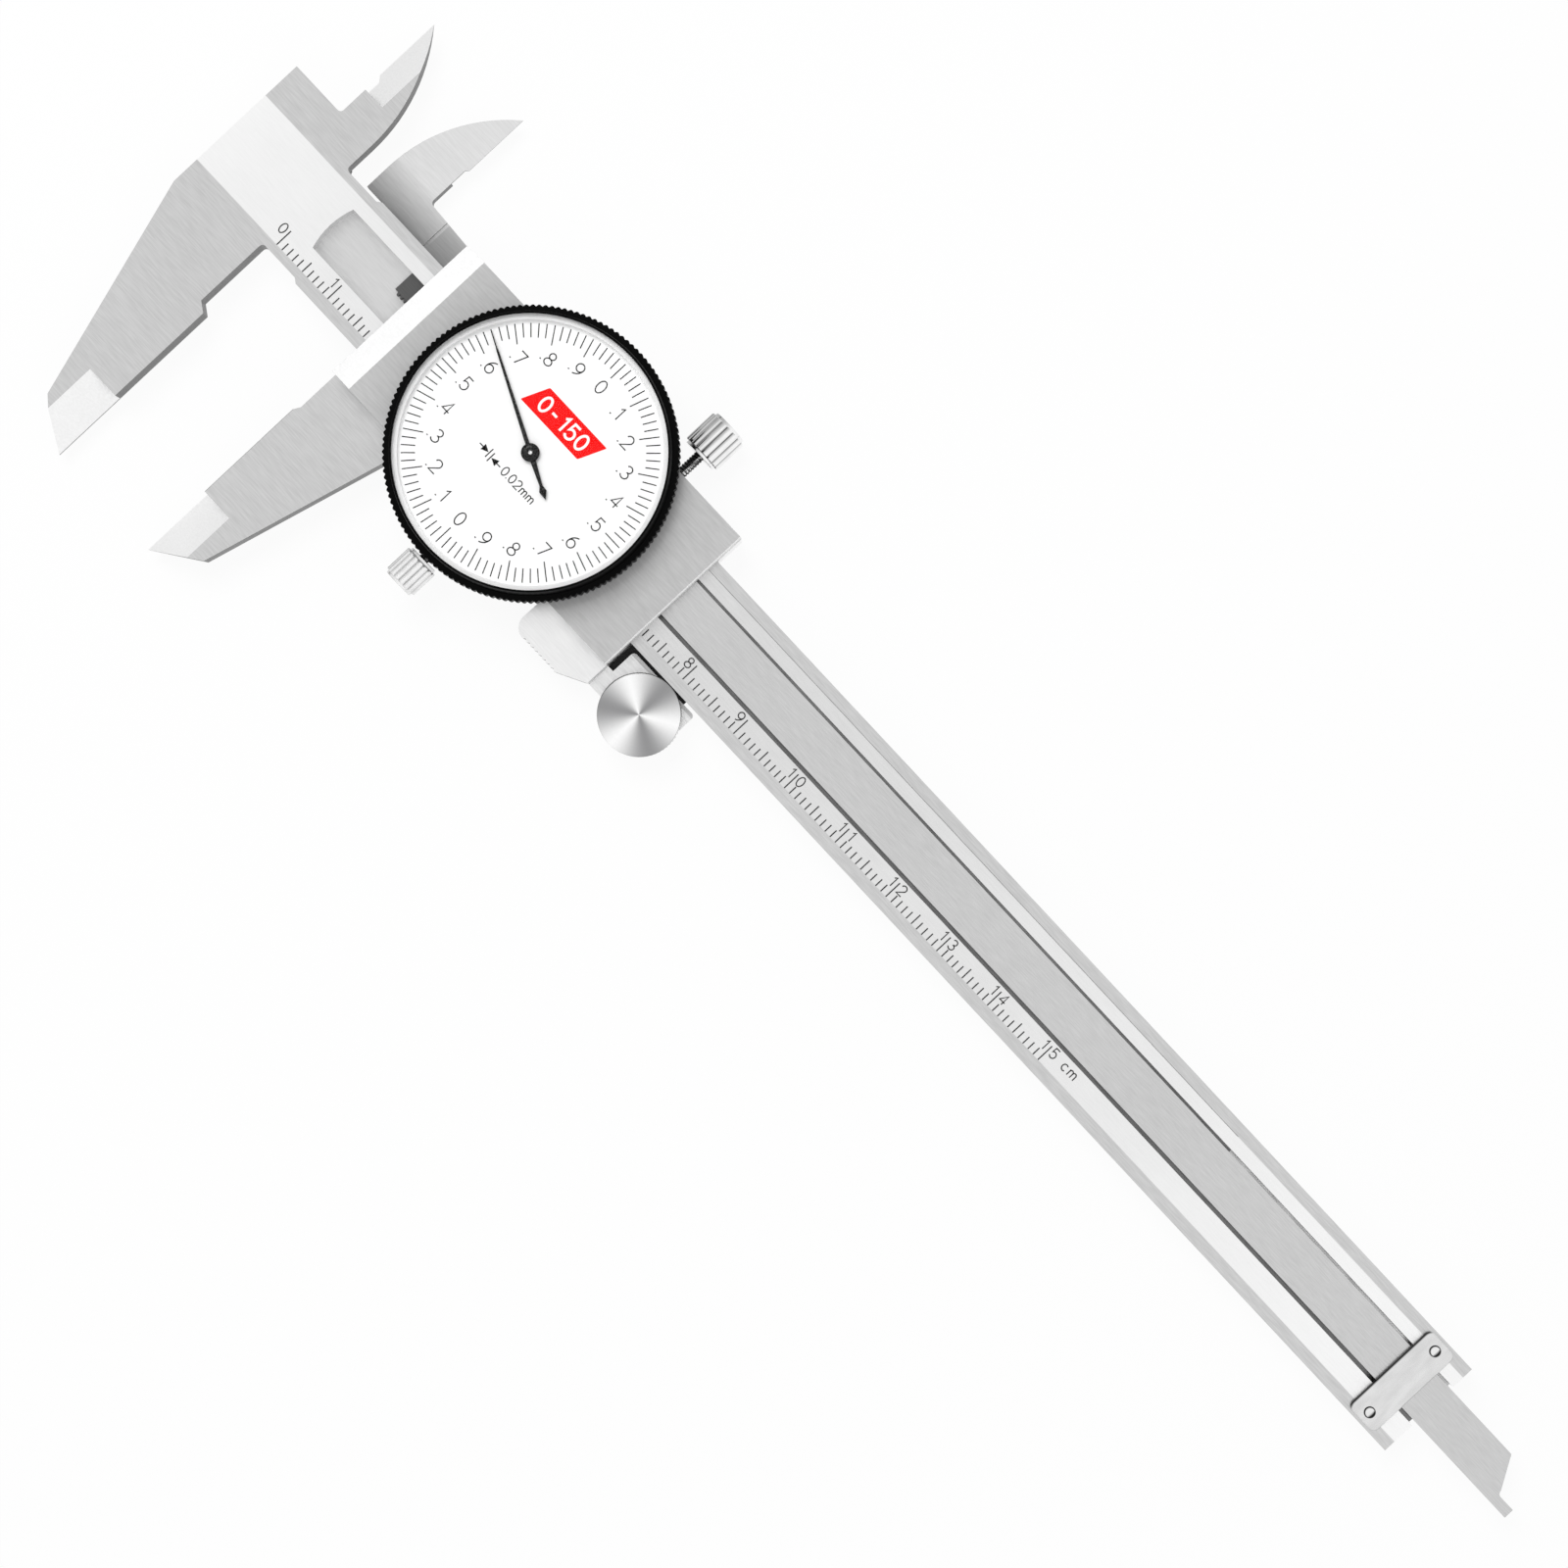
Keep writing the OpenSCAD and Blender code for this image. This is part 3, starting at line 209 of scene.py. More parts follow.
def stroke_sides(path: Array, width: float, closed: bool) -> Array:
    """Left and right edges of a pen stroke along a flat path.

    At each point the edge lies half the width away along the mean of the two neighbouring normals,
    lengthened by the mitre so that the stroke keeps its width round a bend.

    Args:
        path: points of the path.
        width: width of the stroke.
        closed: the last point joins the first.

    Returns:
        Array of points by two sides by two.
    """
    if closed:
        ahead = np.roll(path, -1, axis=0) - path
        behind = path - np.roll(path, 1, axis=0)
    else:
        step = np.diff(path, axis=0)
        ahead = np.vstack([step, step[-1:]])
        behind = np.vstack([step[:1], step])
    ahead = ahead / np.linalg.norm(ahead, axis=1, keepdims=True)
    behind = behind / np.linalg.norm(behind, axis=1, keepdims=True)
    mean = ahead + behind
    mean = mean / np.maximum(np.linalg.norm(mean, axis=1, keepdims=True), 1e-6)
    mitre = np.clip(1.0 / np.maximum(np.sum(mean * ahead, axis=1, keepdims=True), 0.1), 1.0, 2.0)
    normal = np.stack([-mean[:, 1], mean[:, 0]], axis=-1) * mitre * width / 2
    return np.stack([path + normal, path - normal], axis=1)


class Patchwork:
    """Grid patches gathered into one mesh, in sketch millimetres."""

    def __init__(self) -> None:
        """Start with no patches."""
        self.points: list[Array] = []
        self.faces: list[list[int]] = []
        self.count = 0

    def grid(self, points: Array, wrap_rows: bool = False, caps: bool = False) -> "Patchwork":
        """Add a grid of points as a skin of four-sided cells, its last column joined to the first.

        Args:
            points: grid of points, rows by columns by three.
            wrap_rows: join the last row to the first.
            caps: close the first and the last row with one flat face each.

        Returns:
            The patchwork itself.
        """
        rows, cols = points.shape[:2]
        self.faces.extend((grid_cells(rows, cols, wrap_rows) + self.count).tolist())
        if caps:
            last = self.count + (rows - 1) * cols
            self.faces.append(list(range(self.count, self.count + cols)))
            self.faces.append(list(range(last + cols - 1, last - 1, -1)))
        self.points.append(points.reshape(-1, 3))
        self.count += rows * cols
        return self

    def slab(self, outline: Array, low: float, high: float) -> "Patchwork":
        """Add a flat plate: the outline at two heights, joined by its sides and closed at both faces.

        Args:
            outline: points of the outline in order.
            low: height of the underside.
            high: height of the face.

        Returns:
            The patchwork itself.
        """
        heights = np.array([low, high])
        flat = np.repeat(outline[None], 2, axis=0)
        level = np.repeat(heights[:, None, None], len(outline), axis=1)
        return self.grid(np.concatenate([flat, level], axis=-1), caps=True)

    def stroke(self, path: Array, width: float, low: float, high: float,
               closed: bool = False) -> "Patchwork":
        """Add a pen stroke: a rectangle of that width, from low to high, carried along a flat path.

        Args:
            path: points of the path.
            width: width of the stroke.
            low: height of the underside.
            high: height of the face.
            closed: the last point joins the first.

        Returns:
            The patchwork itself.
        """
        sides = stroke_sides(path, width, closed)
        left, right = sides[:, 0], sides[:, 1]
        low_col, high_col = np.full((len(path), 1), low), np.full((len(path), 1), high)
        corners = [np.hstack([left, low_col]), np.hstack([right, low_col])]
        corners += [np.hstack([right, high_col]), np.hstack([left, high_col])]
        return self.grid(np.stack(corners, axis=1), wrap_rows=closed, caps=not closed)

    def build(self, name: str, smooth_deg: float = 32.0) -> Piece:
        """Put the patches into a mesh object that sits at the origin.

        Args:
            name: name of the piece.
            smooth_deg: edges bent by more than this stay sharp.

        Returns:
            The new object, faces outwards.
        """
        mesh = bpy.data.meshes.new(name)
        mesh.from_pydata(DATUM.place(np.vstack(self.points)).tolist(), [], self.faces)
        work = bmesh.new()
        work.from_mesh(mesh)
        bmesh.ops.recalc_face_normals(work, faces=work.faces)
        work.to_mesh(mesh)
        work.free()
        return as_object(name, mesh, smooth_deg)


def as_object(name: str, mesh: bpy.types.Mesh, smooth_deg: float) -> Piece:
    """Link a mesh as an object at the origin, smooth but for edges sharper than the angle.

    Args:
        name: name of the piece.
        mesh: its mesh.
        smooth_deg: edges bent by more than this stay sharp.

    Returns:
        The new object.
    """
    mesh.polygons.foreach_set("use_smooth", np.ones(len(mesh.polygons), dtype=bool))
    mesh.set_sharp_from_angle(angle=math.radians(smooth_deg))
    mesh.update()
    piece = bpy.data.objects.new(name, mesh)
    bpy.context.scene.collection.objects.link(piece)
    return piece


def skinned(name: str, points: Array, ring: bool = False, smooth_deg: float = 40.0) -> Piece:
    """Piece of one grid of points: a closed ring of profiles, or else capped at both ends."""
    return Patchwork().grid(points, ring, not ring).build(name, smooth_deg)


def eased_copy(node: str, name: str, width: float) -> Piece:
    """Copy of a CAD node with its sharp edges broken.

    The copy's triangles are merged, flat neighbours are joined and a Bevel modifier rounds every
    edge that bends by more than 35 degrees.

    Args:
        node: name of the CAD node.
        name: name of the piece.
        width: width of the broken edge in millimetres.

    Returns:
        The new object, at the origin like the node.
    """
    merge_m, flat_deg, smooth_deg, sharp_deg = 1e-7, 0.4, 10.0, 35.0
    mesh = frame["nodes"][node].data.copy()
    mesh.name = name
    work = bmesh.new()
    work.from_mesh(mesh)
    bmesh.ops.remove_doubles(work, verts=work.verts, dist=merge_m)
    bmesh.ops.dissolve_limit(work, angle_limit=math.radians(flat_deg), verts=work.verts, edges=work.edges)
    work.to_mesh(mesh)
    work.free()
    mesh.materials.clear()
    piece = as_object(name, mesh, smooth_deg)
    ease = piece.modifiers.new("broken_edges", "BEVEL")
    ease.width = width * MM
    ease.segments = 2
    ease.limit_method = "ANGLE"
    ease.angle_limit = math.radians(sharp_deg)
    ease.harden_normals = True
    return piece


class Bench:
    """A node tree with one short call for each kind of node that the finishes use."""

    def __init__(self, tree: Tree) -> None:
        """Work on this tree, emptied."""
        self.tree = tree
        tree.nodes.clear()

    def feed(self, port: Socket, value: Any) -> None:
        """Join an output to an input, or set the input's own value.

        Args:
            port: the input.
            value: an output, or a plain value.
        """
        if isinstance(value, Socket):
            self.tree.links.new(value, port)
        else:
            port.default_value = value

    def add(self, kind: str, inputs: Optional[dict[Any, Any]] = None, **settings: Any) -> Node:
        """Place a node.

        Args:
            kind: node type.
            inputs: values or output sockets for its inputs, by name or number.
            settings: other properties of the node.

        Returns:
            The new node.
        """
        node = self.tree.nodes.new(kind)
        for key, value in settings.items():
            setattr(node, key, value)
        for key, value in (inputs or {}).items():
            self.feed(node.inputs[key], value)
        return node

    def math(self, operation: str, *values: Any) -> Socket:
        """Output of a Math node on these values or sockets."""
        return self.add("ShaderNodeMath", dict(enumerate(values)), operation=operation).outputs[0]

    def times(self, *values: Any) -> Any:
        """Product of values and sockets."""
        return reduce(partial(self.math, "MULTIPLY"), values)

    def most(self, *values: Any) -> Any:
        """Greatest of values and sockets."""
        return reduce(partial(self.math, "MAXIMUM"), values)

    def minus(self, first: Any, second: Any) -> Socket:
        """First less second."""
        return self.math("SUBTRACT", first, second)

    def length(self, first: Any, second: Any) -> Socket:
        """Distance of the point (first, second) from the origin."""
        squares = self.math("ADD", self.times(first, first), self.times(second, second))
        return self.math("SQRT", squares)

    def vector(self, operation: str, first: Any, second: Any) -> Socket:
        """Output of a Vector Math node on two values or sockets."""
        return self.add("ShaderNodeVectorMath", {0: first, 1: second}, operation=operation).outputs[0]

    def parts(self, vector: Any) -> tuple[Any, ...]:
        """The x, y and z of a vector."""
        return tuple(self.add("ShaderNodeSeparateXYZ", {0: vector}).outputs)

    def ramp(self, value: Any, low: float, high: float, to_low: float = 0.0, to_high: float = 1.0) -> Socket:
        """Output of a clamped Map Range from low..high to to_low..to_high."""
        limits = {"Value": value, "From Min": low, "From Max": high, "To Min": to_low, "To Max": to_high}
        return self.add("ShaderNodeMapRange", limits).outputs["Result"]

    def about(self, value: Any, middle: float, half: float) -> Socket:
        """Number that goes from half under to half over the middle as the value goes from 0 to 1."""
        return self.ramp(value, 0.0, 1.0, middle - half, middle + half)

    def within(self, value: Any, low: float, high: float, soft: float) -> Socket:
        """One between two limits and nought outside, with a soft step at each."""
        rising = self.ramp(value, low - soft, low + soft)
        return self.times(rising, self.ramp(value, high + soft, high - soft))

    def noise(self, where: Any, scale: Any, detail: float) -> Socket:
        """Noise at a place."""
        return self.add("ShaderNodeTexNoise", {"Vector": where, "Scale": scale, "Detail": detail}).outputs[0]

    def marks(self, group: Tree, **inputs: Any) -> Any:
        """Outputs of a shared node group."""
        return self.add("ShaderNodeGroup", inputs, node_tree=group).outputs

    def bump(self, height: Any, depth: float, strength: float) -> Socket:
        """Normal that follows a height."""
        inputs = {"Height": height, "Distance": depth, "Strength": strength}
        return self.add("ShaderNodeBump", inputs).outputs[0]

    def mix(self, share: Any, first: Node, second: Node) -> Socket:
        """Shader between those of two nodes, by share."""
        inputs = {0: share, 1: first.outputs[0], 2: second.outputs[0]}
        return self.add("ShaderNodeMixShader", inputs).outputs[0]

    def sketch(self, where: Any) -> tuple[Any, ...]:
        """Object coordinates as X, Y and Z of the sketch frame, in millimetres."""
        offset = self.vector("SUBTRACT", where, DATUM.origin)
        return self.parts(self.vector("MULTIPLY", offset, (1.0 / MM,) * 3))

    def facing(self, way: int = 2) -> Any:
        """Part of the surface normal along x, y or z."""
        return self.parts(self.add("ShaderNodeNewGeometry").outputs["Normal"])[way]

    def blend(self, amount: Any, first: Any, second: Any) -> Socket:
        """Colour between first and second by amount.

        Args:
            amount: share of the second colour.
            first: a colour or an output.
            second: a colour or an output.

        Returns:
            Output with the mixed colour.
        """
        node = self.add("ShaderNodeMix", {"Factor": amount}, data_type="RGBA")
        ports = {port.name: port for port in node.inputs if port.type == "RGBA"}
        for key, value in (("A", first), ("B", second)):
            self.feed(ports[key], value if isinstance(value, Socket) else (*value, 1.0))
        return next(port for port in node.outputs if port.type == "RGBA")


def open_group(name: str, **inputs: Any) -> tuple[Bench, list[Socket]]:
    """Start a shader node group.

    Args:
        name: name of the group.
        inputs: first value of each input, a number or a vector.

    Returns:
        A bench on the group and its input sockets in order.
    """
    group = bpy.data.node_groups.new(name, "ShaderNodeTree")
    for key, value in inputs.items():
        kind = "NodeSocketFloat" if isinstance(value, float) else "NodeSocketVector"
        group.interface.new_socket(name=key, in_out="INPUT", socket_type=kind).default_value = value
    bench = Bench(group)
    return bench, list(bench.add("NodeGroupInput").outputs)[:len(inputs)]


def close_group(bench: Bench, **outputs: Socket) -> Tree:
    """Give a group its number outputs, joined to these sockets.

    Args:
        bench: bench on the group.
        outputs: what each output gives, by its name.

    Returns:
        The finished group.
    """
    for key in outputs:
        bench.tree.interface.new_socket(name=key, in_out="OUTPUT", socket_type="NodeSocketFloat")
    bench.add("NodeGroupOutput", outputs)
    return bench.tree


class Effects:
    """Shader node groups shared by the finishes."""

    def __init__(self) -> None:
        """Build each group once."""
        self.grain = self._grain()
        self.patches = self._patches()
        self.rings = self._rings()

    @staticmethod
    def _grain() -> Tree:
        """Brush marks: noise stretched along one direction, fine and coarse together.

        Returns:
            The group, with the outputs Streak and Height.
        """
        bench, (where, stretch) = open_group("brush_marks", Vector=NOUGHT, Stretch=(60.0, 5000.0, 5000.0))
        stretched = bench.vector("MULTIPLY", where, stretch)
        fine_share, coarse_scale = 0.86, 0.22
        fine = bench.times(bench.noise(stretched, 1.0, 3.0), fine_share)
        coarse = bench.times(bench.noise(stretched, coarse_scale, 2.0), 1.0 - fine_share)
        both = bench.math("ADD", fine, coarse)
        return close_group(bench, Streak=bench.ramp(both, 0.34, 0.66), Height=both)

    @staticmethod
    def _patches() -> Tree:
        """Handling marks: soft cloudy patches with a few finer specks.

        Returns:
            The group, with the outputs Cloud and Speck.
        """
        bench, (where, scale) = open_group("handling_marks", Vector=NOUGHT, Scale=60.0)
        cloud = bench.noise(where, scale, 4.0)
        specks_per_cloud = 45.0
        speck = bench.noise(where, bench.times(scale, specks_per_cloud), 2.0)
        return close_group(bench, Cloud=bench.ramp(cloud, 0.38, 0.66), Speck=bench.ramp(speck, 0.3, 0.7))

    @staticmethod
    def _rings() -> Tree:
        """Turning marks, from noise of the distance from an axis, and a painted reflection: bright and dark
        sectors round it.

        Returns:
            The group, with the outputs Ring and Sector.
        """
        bench, (where, centre, pitch, sectors, turn) = open_group(
            "turning_marks_and_painted_sectors", Vector=NOUGHT, Centre=NOUGHT, Pitch=9000.0, Sectors=3.0, Turn=0.0)
        x, y, _ = bench.parts(bench.vector("SUBTRACT", where, centre))
        groove = {"W": bench.times(bench.length(x, y), pitch), "Scale": 1.0, "Detail": 2.0}
        noise = bench.add("ShaderNodeTexNoise", groove, noise_dimensions="1D").outputs[0]
        angle = bench.minus(bench.math("ARCTAN2", y, x), turn)
        wave = bench.math("COSINE", bench.times(angle, sectors))
        return close_group(bench, Ring=bench.ramp(noise, 0.3, 0.7), Sector=bench.ramp(wave, -1.0, 1.0))


@dataclass(frozen=True)
class Finish:
    """Common work of the finishes: a Principled shader fed by what the finish paints.

    More than one finish has a mean roughness, its spread across the marks, a relief (the depth of
    the marks in metres), a metallic share, a cloudy share (of the handling marks) and a number of
    patches, or clouds, per metre.

    Attributes:
        name: name of the material.
        tone: its main colour.
    """

    name: str
    tone: Triple

    def build(self, effects: Effects) -> Material:
        """Make the material.

        Args:
            effects: shared node groups.

        Returns:
            The material, named apart from those that come with the frame.
        """
        material = bpy.data.materials.new("finish_" + self.name)
        material.use_nodes = True
        bench = Bench(material.node_tree)
        where = bench.add("ShaderNodeTexCoord").outputs["Object"]
        shader = bench.add("ShaderNodeBsdfPrincipled", self.paint(bench, where, effects))
        bench.add("ShaderNodeOutputMaterial", {"Surface": self.surface(bench, shader)}, is_active_output=True)
        return material

    def paint(self, bench: Bench, where: Socket, effects: Effects) -> dict[str, Any]:
        """Values and sockets for the Principled shader.

        Args:
            bench: bench of the material.
            where: Object coordinates.
            effects: shared node groups.

        Returns:
            One entry for each input that the finish sets.
        """
        raise NotImplementedError

    def surface(self, bench: Bench, shader: Node) -> Socket:
        """What the material's surface shows: the shader itself."""
        return shader.outputs[0]


# Parts of a face's normal between which a place fades in: upwards, or to the right for the last one; tones
# set by the way a face points are painted highlight or painted shade
LEVEL: Pair = (0.985, 0.995)
TILTED: Pair = (0.996, 0.986)
LOOKING_UP: Pair = (0.3, 0.6)
UPRIGHT: Pair = (0.5, 0.25)
LEANING_LEFT: Pair = (-0.3, -0.7)

# X between which the rule's band pales towards each end of the beam, as a painted highlight
PALE_LEFT: Pair = (60.0, -15.0)
PALE_RIGHT: Pair = (95.0, 205.0)


class Place(Enum):
    """Places on a steel piece whose tone differs from its flats; most of these tones are painted highlight or
    painted shade.
    """

    # Painted highlight: SLOPES, END_WALLS, LIT_BAND. Painted shade: WALLS, LEFT_EDGES, JAW_ROOT. The groove
    # places: painted shade and painted light.
    SLOPES = "faces that tilt but still look up"
    WALLS = "upright faces"
    END_WALLS = "upright faces right of an X limit"
    LEFT_EDGES = "faces that lean to the left"
    GROOVE = "level faces under the rule face; with two X limits, fading from one to the other"
    GROOVE_BACK = "level faces under the rule face behind a Y limit"
    GROOVE_WALLS = "upright faces between two Y limits"
    BAND = "rule face between two Y limits"
    LIT_BAND = "the same band, paling from the middle of the beam to both its ends"
    CORNER = "right of an X limit and under a Y limit"
    JAW_ROOT = "between two X limits, fading from one Y limit to another"


@dataclass(frozen=True)
class Touch:
    """Second tone on one place of a brushed piece.

    Attributes:
        place: where it lies.
        tone: its colour.
        limits: limits of the place in sketch millimetres.
        streak: share by which brush marks darken it.
        dull: roughness added to it.
    """

    place: Place
    tone: Triple
    limits: tuple[float, ...] = ()
    streak: float = 0.05
    dull: float = 0.0

    def mask(self, bench: Bench, where: Socket) -> Socket:
        """How far the touch covers each point.

        Args:
            bench: bench of the material.
            where: Object coordinates.

        Returns:
            Cover from nought to one.
        """
        x, y, z = bench.sketch(where)
        level, limits = bench.facing(), self.limits
        hair, step, fade = 0.03, 0.06, 0.1
        # Painted highlight on tilted faces that still look up.
        if self.place is Place.SLOPES:
            return bench.times(bench.ramp(level, *TILTED), bench.ramp(level, *LOOKING_UP))
        # Painted shade on faces that lean to the left.
        if self.place is Place.LEFT_EDGES:
            return bench.ramp(bench.facing(0), *LEANING_LEFT)
        if self.place is Place.CORNER:
            right, under = limits
            return bench.times(bench.ramp(x, right - fade, right), bench.ramp(y, under, under - fade))
        # Painted shade on the moving jaw's blade: darkest at the dark Y limit, none at the clear one.
        if self.place is Place.JAW_ROOT:
            left, right, dark, clear = limits
            return bench.times(bench.within(x, left, right, hair), bench.ramp(y, clear, dark))
        # Upright faces: painted shade, except at the right end and in the groove.
        upright = bench.ramp(bench.math("ABSOLUTE", level), *UPRIGHT)
        if self.place is Place.WALLS:
            return upright
        # Painted highlight on upright faces at the right end.
        if self.place is Place.END_WALLS:
            return bench.times(upright, bench.ramp(x, limits[0] - fade / 2, limits[0] + fade / 2))
        # Groove tones: painted shade on the floor in its narrow gaps, painted light where the floor behind a
        # Y limit and the upright faces are paler.
        if self.place is Place.GROOVE_WALLS:
            return bench.times(bench.within(y, *limits, step), upright)
        skin_z = RULE_FACE - 0.2
        floor = bench.times(bench.ramp(z, skin_z, skin_z - fade), bench.ramp(level, *LEVEL))
        if self.place is Place.GROOVE:
            return bench.times(floor, bench.ramp(x, limits[1], limits[0])) if limits else floor
        if self.place is Place.GROOVE_BACK:
            return bench.times(floor, bench.ramp(y, limits[0] - fade, limits[0] + fade))
        band = bench.times(bench.within(y, *limits, step), bench.ramp(z, skin_z, skin_z + fade))
        if self.place is Place.BAND:
            return band
        # Painted highlight: the band pales towards both ends of the beam.
        return bench.times(band, bench.most(bench.ramp(x, *PALE_LEFT), bench.ramp(x, *PALE_RIGHT)))


def toned(colour: Triple, share: float) -> Triple:
    """Colour times a share, no brighter than white."""
    return tuple(min(1.0, part * share) for part in colour)


@dataclass(frozen=True)
class BrushedSteel(Finish):
    """Steel with straight brush marks and faint handling marks.

    Attributes:
        contrast: share by which brush marks darken it.
        stretch: brush marks per metre along x, y and z.
        touches: places with a tone of their own, most of them painted highlight or painted shade.
        lift: share of the contrast by which bright marks rise.
        worn: share of the tone that handling marks leave.
    """

    contrast: float = 0.13
    stretch: Triple = (330.0, 5600.0, 5600.0)
    roughness: float = 0.34
    spread: float = 0.12
    relief: float = 4e-6
    metallic: float = 1.0
    touches: tuple[Touch, ...] = ()
    lift: float = 0.6
    cloudy: float = 0.05
    worn: float = 0.7

    def paint(self, bench: Bench, where: Socket, effects: Effects) -> dict[str, Any]:
        """Brush marks tint the colour, spread the roughness and raise a bump.

        Args:
            bench: bench of the material.
            where: Object coordinates.
            effects: shared node groups.

        Returns:
            Inputs of the Principled shader, by name.
        """
        grain = bench.marks(effects.grain, Vector=where, Stretch=self.stretch)
        cloud = bench.times(bench.marks(effects.patches, Vector=where)["Cloud"], self.cloudy)
        streak = grain["Streak"]
        dark = toned(self.tone, 1.0 - self.contrast)
        colour = bench.blend(streak, dark, toned(self.tone, 1.0 + self.contrast * self.lift))
        rough = bench.math("ADD", bench.about(streak, self.roughness, -self.spread / 2), cloud)
        for touch in self.touches:
            mask = touch.mask(bench, where)
            marked = bench.blend(streak, toned(touch.tone, 1.0 - touch.streak), touch.tone)
            colour = bench.blend(mask, colour, marked)
            rough = bench.math("ADD", rough, bench.times(mask, touch.dull))
        colour = bench.blend(cloud, colour, toned(self.tone, self.worn))
        return {"Base Color": colour, "Roughness": rough, "Metallic": self.metallic,
                "Normal": bench.bump(grain["Height"], self.relief, 0.5)}


@dataclass(frozen=True)
class TurnedMetal(Finish):
    """Metal with fine turning marks round an upright axis, and a painted reflection in bright and dark
    sectors.

    Attributes:
        centre: X and Y of the axis in millimetres.
        ring: share by which the marks darken the colour.
        sector: share by which the painted reflection's dark sectors darken the colour.
        turn: direction of a bright sector of the painted reflection, in radians.
        shade: colour of the painted reflection's dark sectors.
    """

    centre: Pair
    roughness: float = 0.25
    ring: float = 0.12
    sector: float = 0.0
    turn: float = 0.0
    shade: Triple = (0.08, 0.08, 0.085)
    spread: float = 0.1
    relief: float = 3e-6

    def paint(self, bench: Bench, where: Socket, effects: Effects) -> dict[str, Any]:
        """Rings and the painted reflection's sectors tint the colour, and rings spread the roughness and
        raise a bump.

        Args:
            bench: bench of the material.
            where: Object coordinates.
            effects: shared node groups.

        Returns:
            Inputs of the Principled shader, by name.
        """
        centre = tuple(DATUM.place(np.array([*self.centre, 0.0])))
        marks = bench.marks(effects.rings, Vector=where, Centre=centre, Turn=self.turn)
        ring = marks["Ring"]
        ringed = bench.blend(ring, toned(self.tone, 1.0 - self.ring), self.tone)
        # Painted reflection: dark sectors round the axis.
        away = bench.math("POWER", bench.minus(1.0, marks["Sector"]), 0.8)
        colour = bench.blend(bench.times(away, self.sector), ringed, self.shade)
        rough = bench.about(ring, self.roughness, -self.spread / 2)
        return {"Base Color": colour, "Roughness": rough, "Metallic": 1.0,
                "Normal": bench.bump(ring, self.relief, 0.4)}


@dataclass(frozen=True)
class Coating(Finish):
    """Paint, print, plating or blacking: an even coat with specks and faint cloudy wear.

    Attributes:
        worn: colour that shows through where it is worn.
        wear: share of the worn colour at the most.
        gloss: specular level of the coat.
    """

    worn: Triple
    roughness: float = 0.4
    metallic: float = 0.0
    wear: float = 0.25
    relief: float = 3e-6
    gloss: float = 0.5
    spread: float = 0.1
    patches: float = 140.0

    def paint(self, bench: Bench, where: Socket, effects: Effects) -> dict[str, Any]:
        """Clouds and specks mix the worn colour in, and specks spread the roughness and raise a bump.

        Args:
            bench: bench of the material.
            where: Object coordinates.
            effects: shared node groups.

        Returns:
            Inputs of the Principled shader, by name.
        """
        marks = bench.marks(effects.patches, Vector=where, Scale=self.patches)
        speck = marks["Speck"]
        worn = bench.times(marks["Cloud"], speck, self.wear)
        rough = bench.about(speck, self.roughness, self.spread / 2)
        return {"Base Color": bench.blend(worn, self.tone, self.worn), "Metallic": self.metallic,
                "Roughness": rough, "Specular IOR Level": self.gloss,
                "Normal": bench.bump(speck, self.relief, 0.4)}


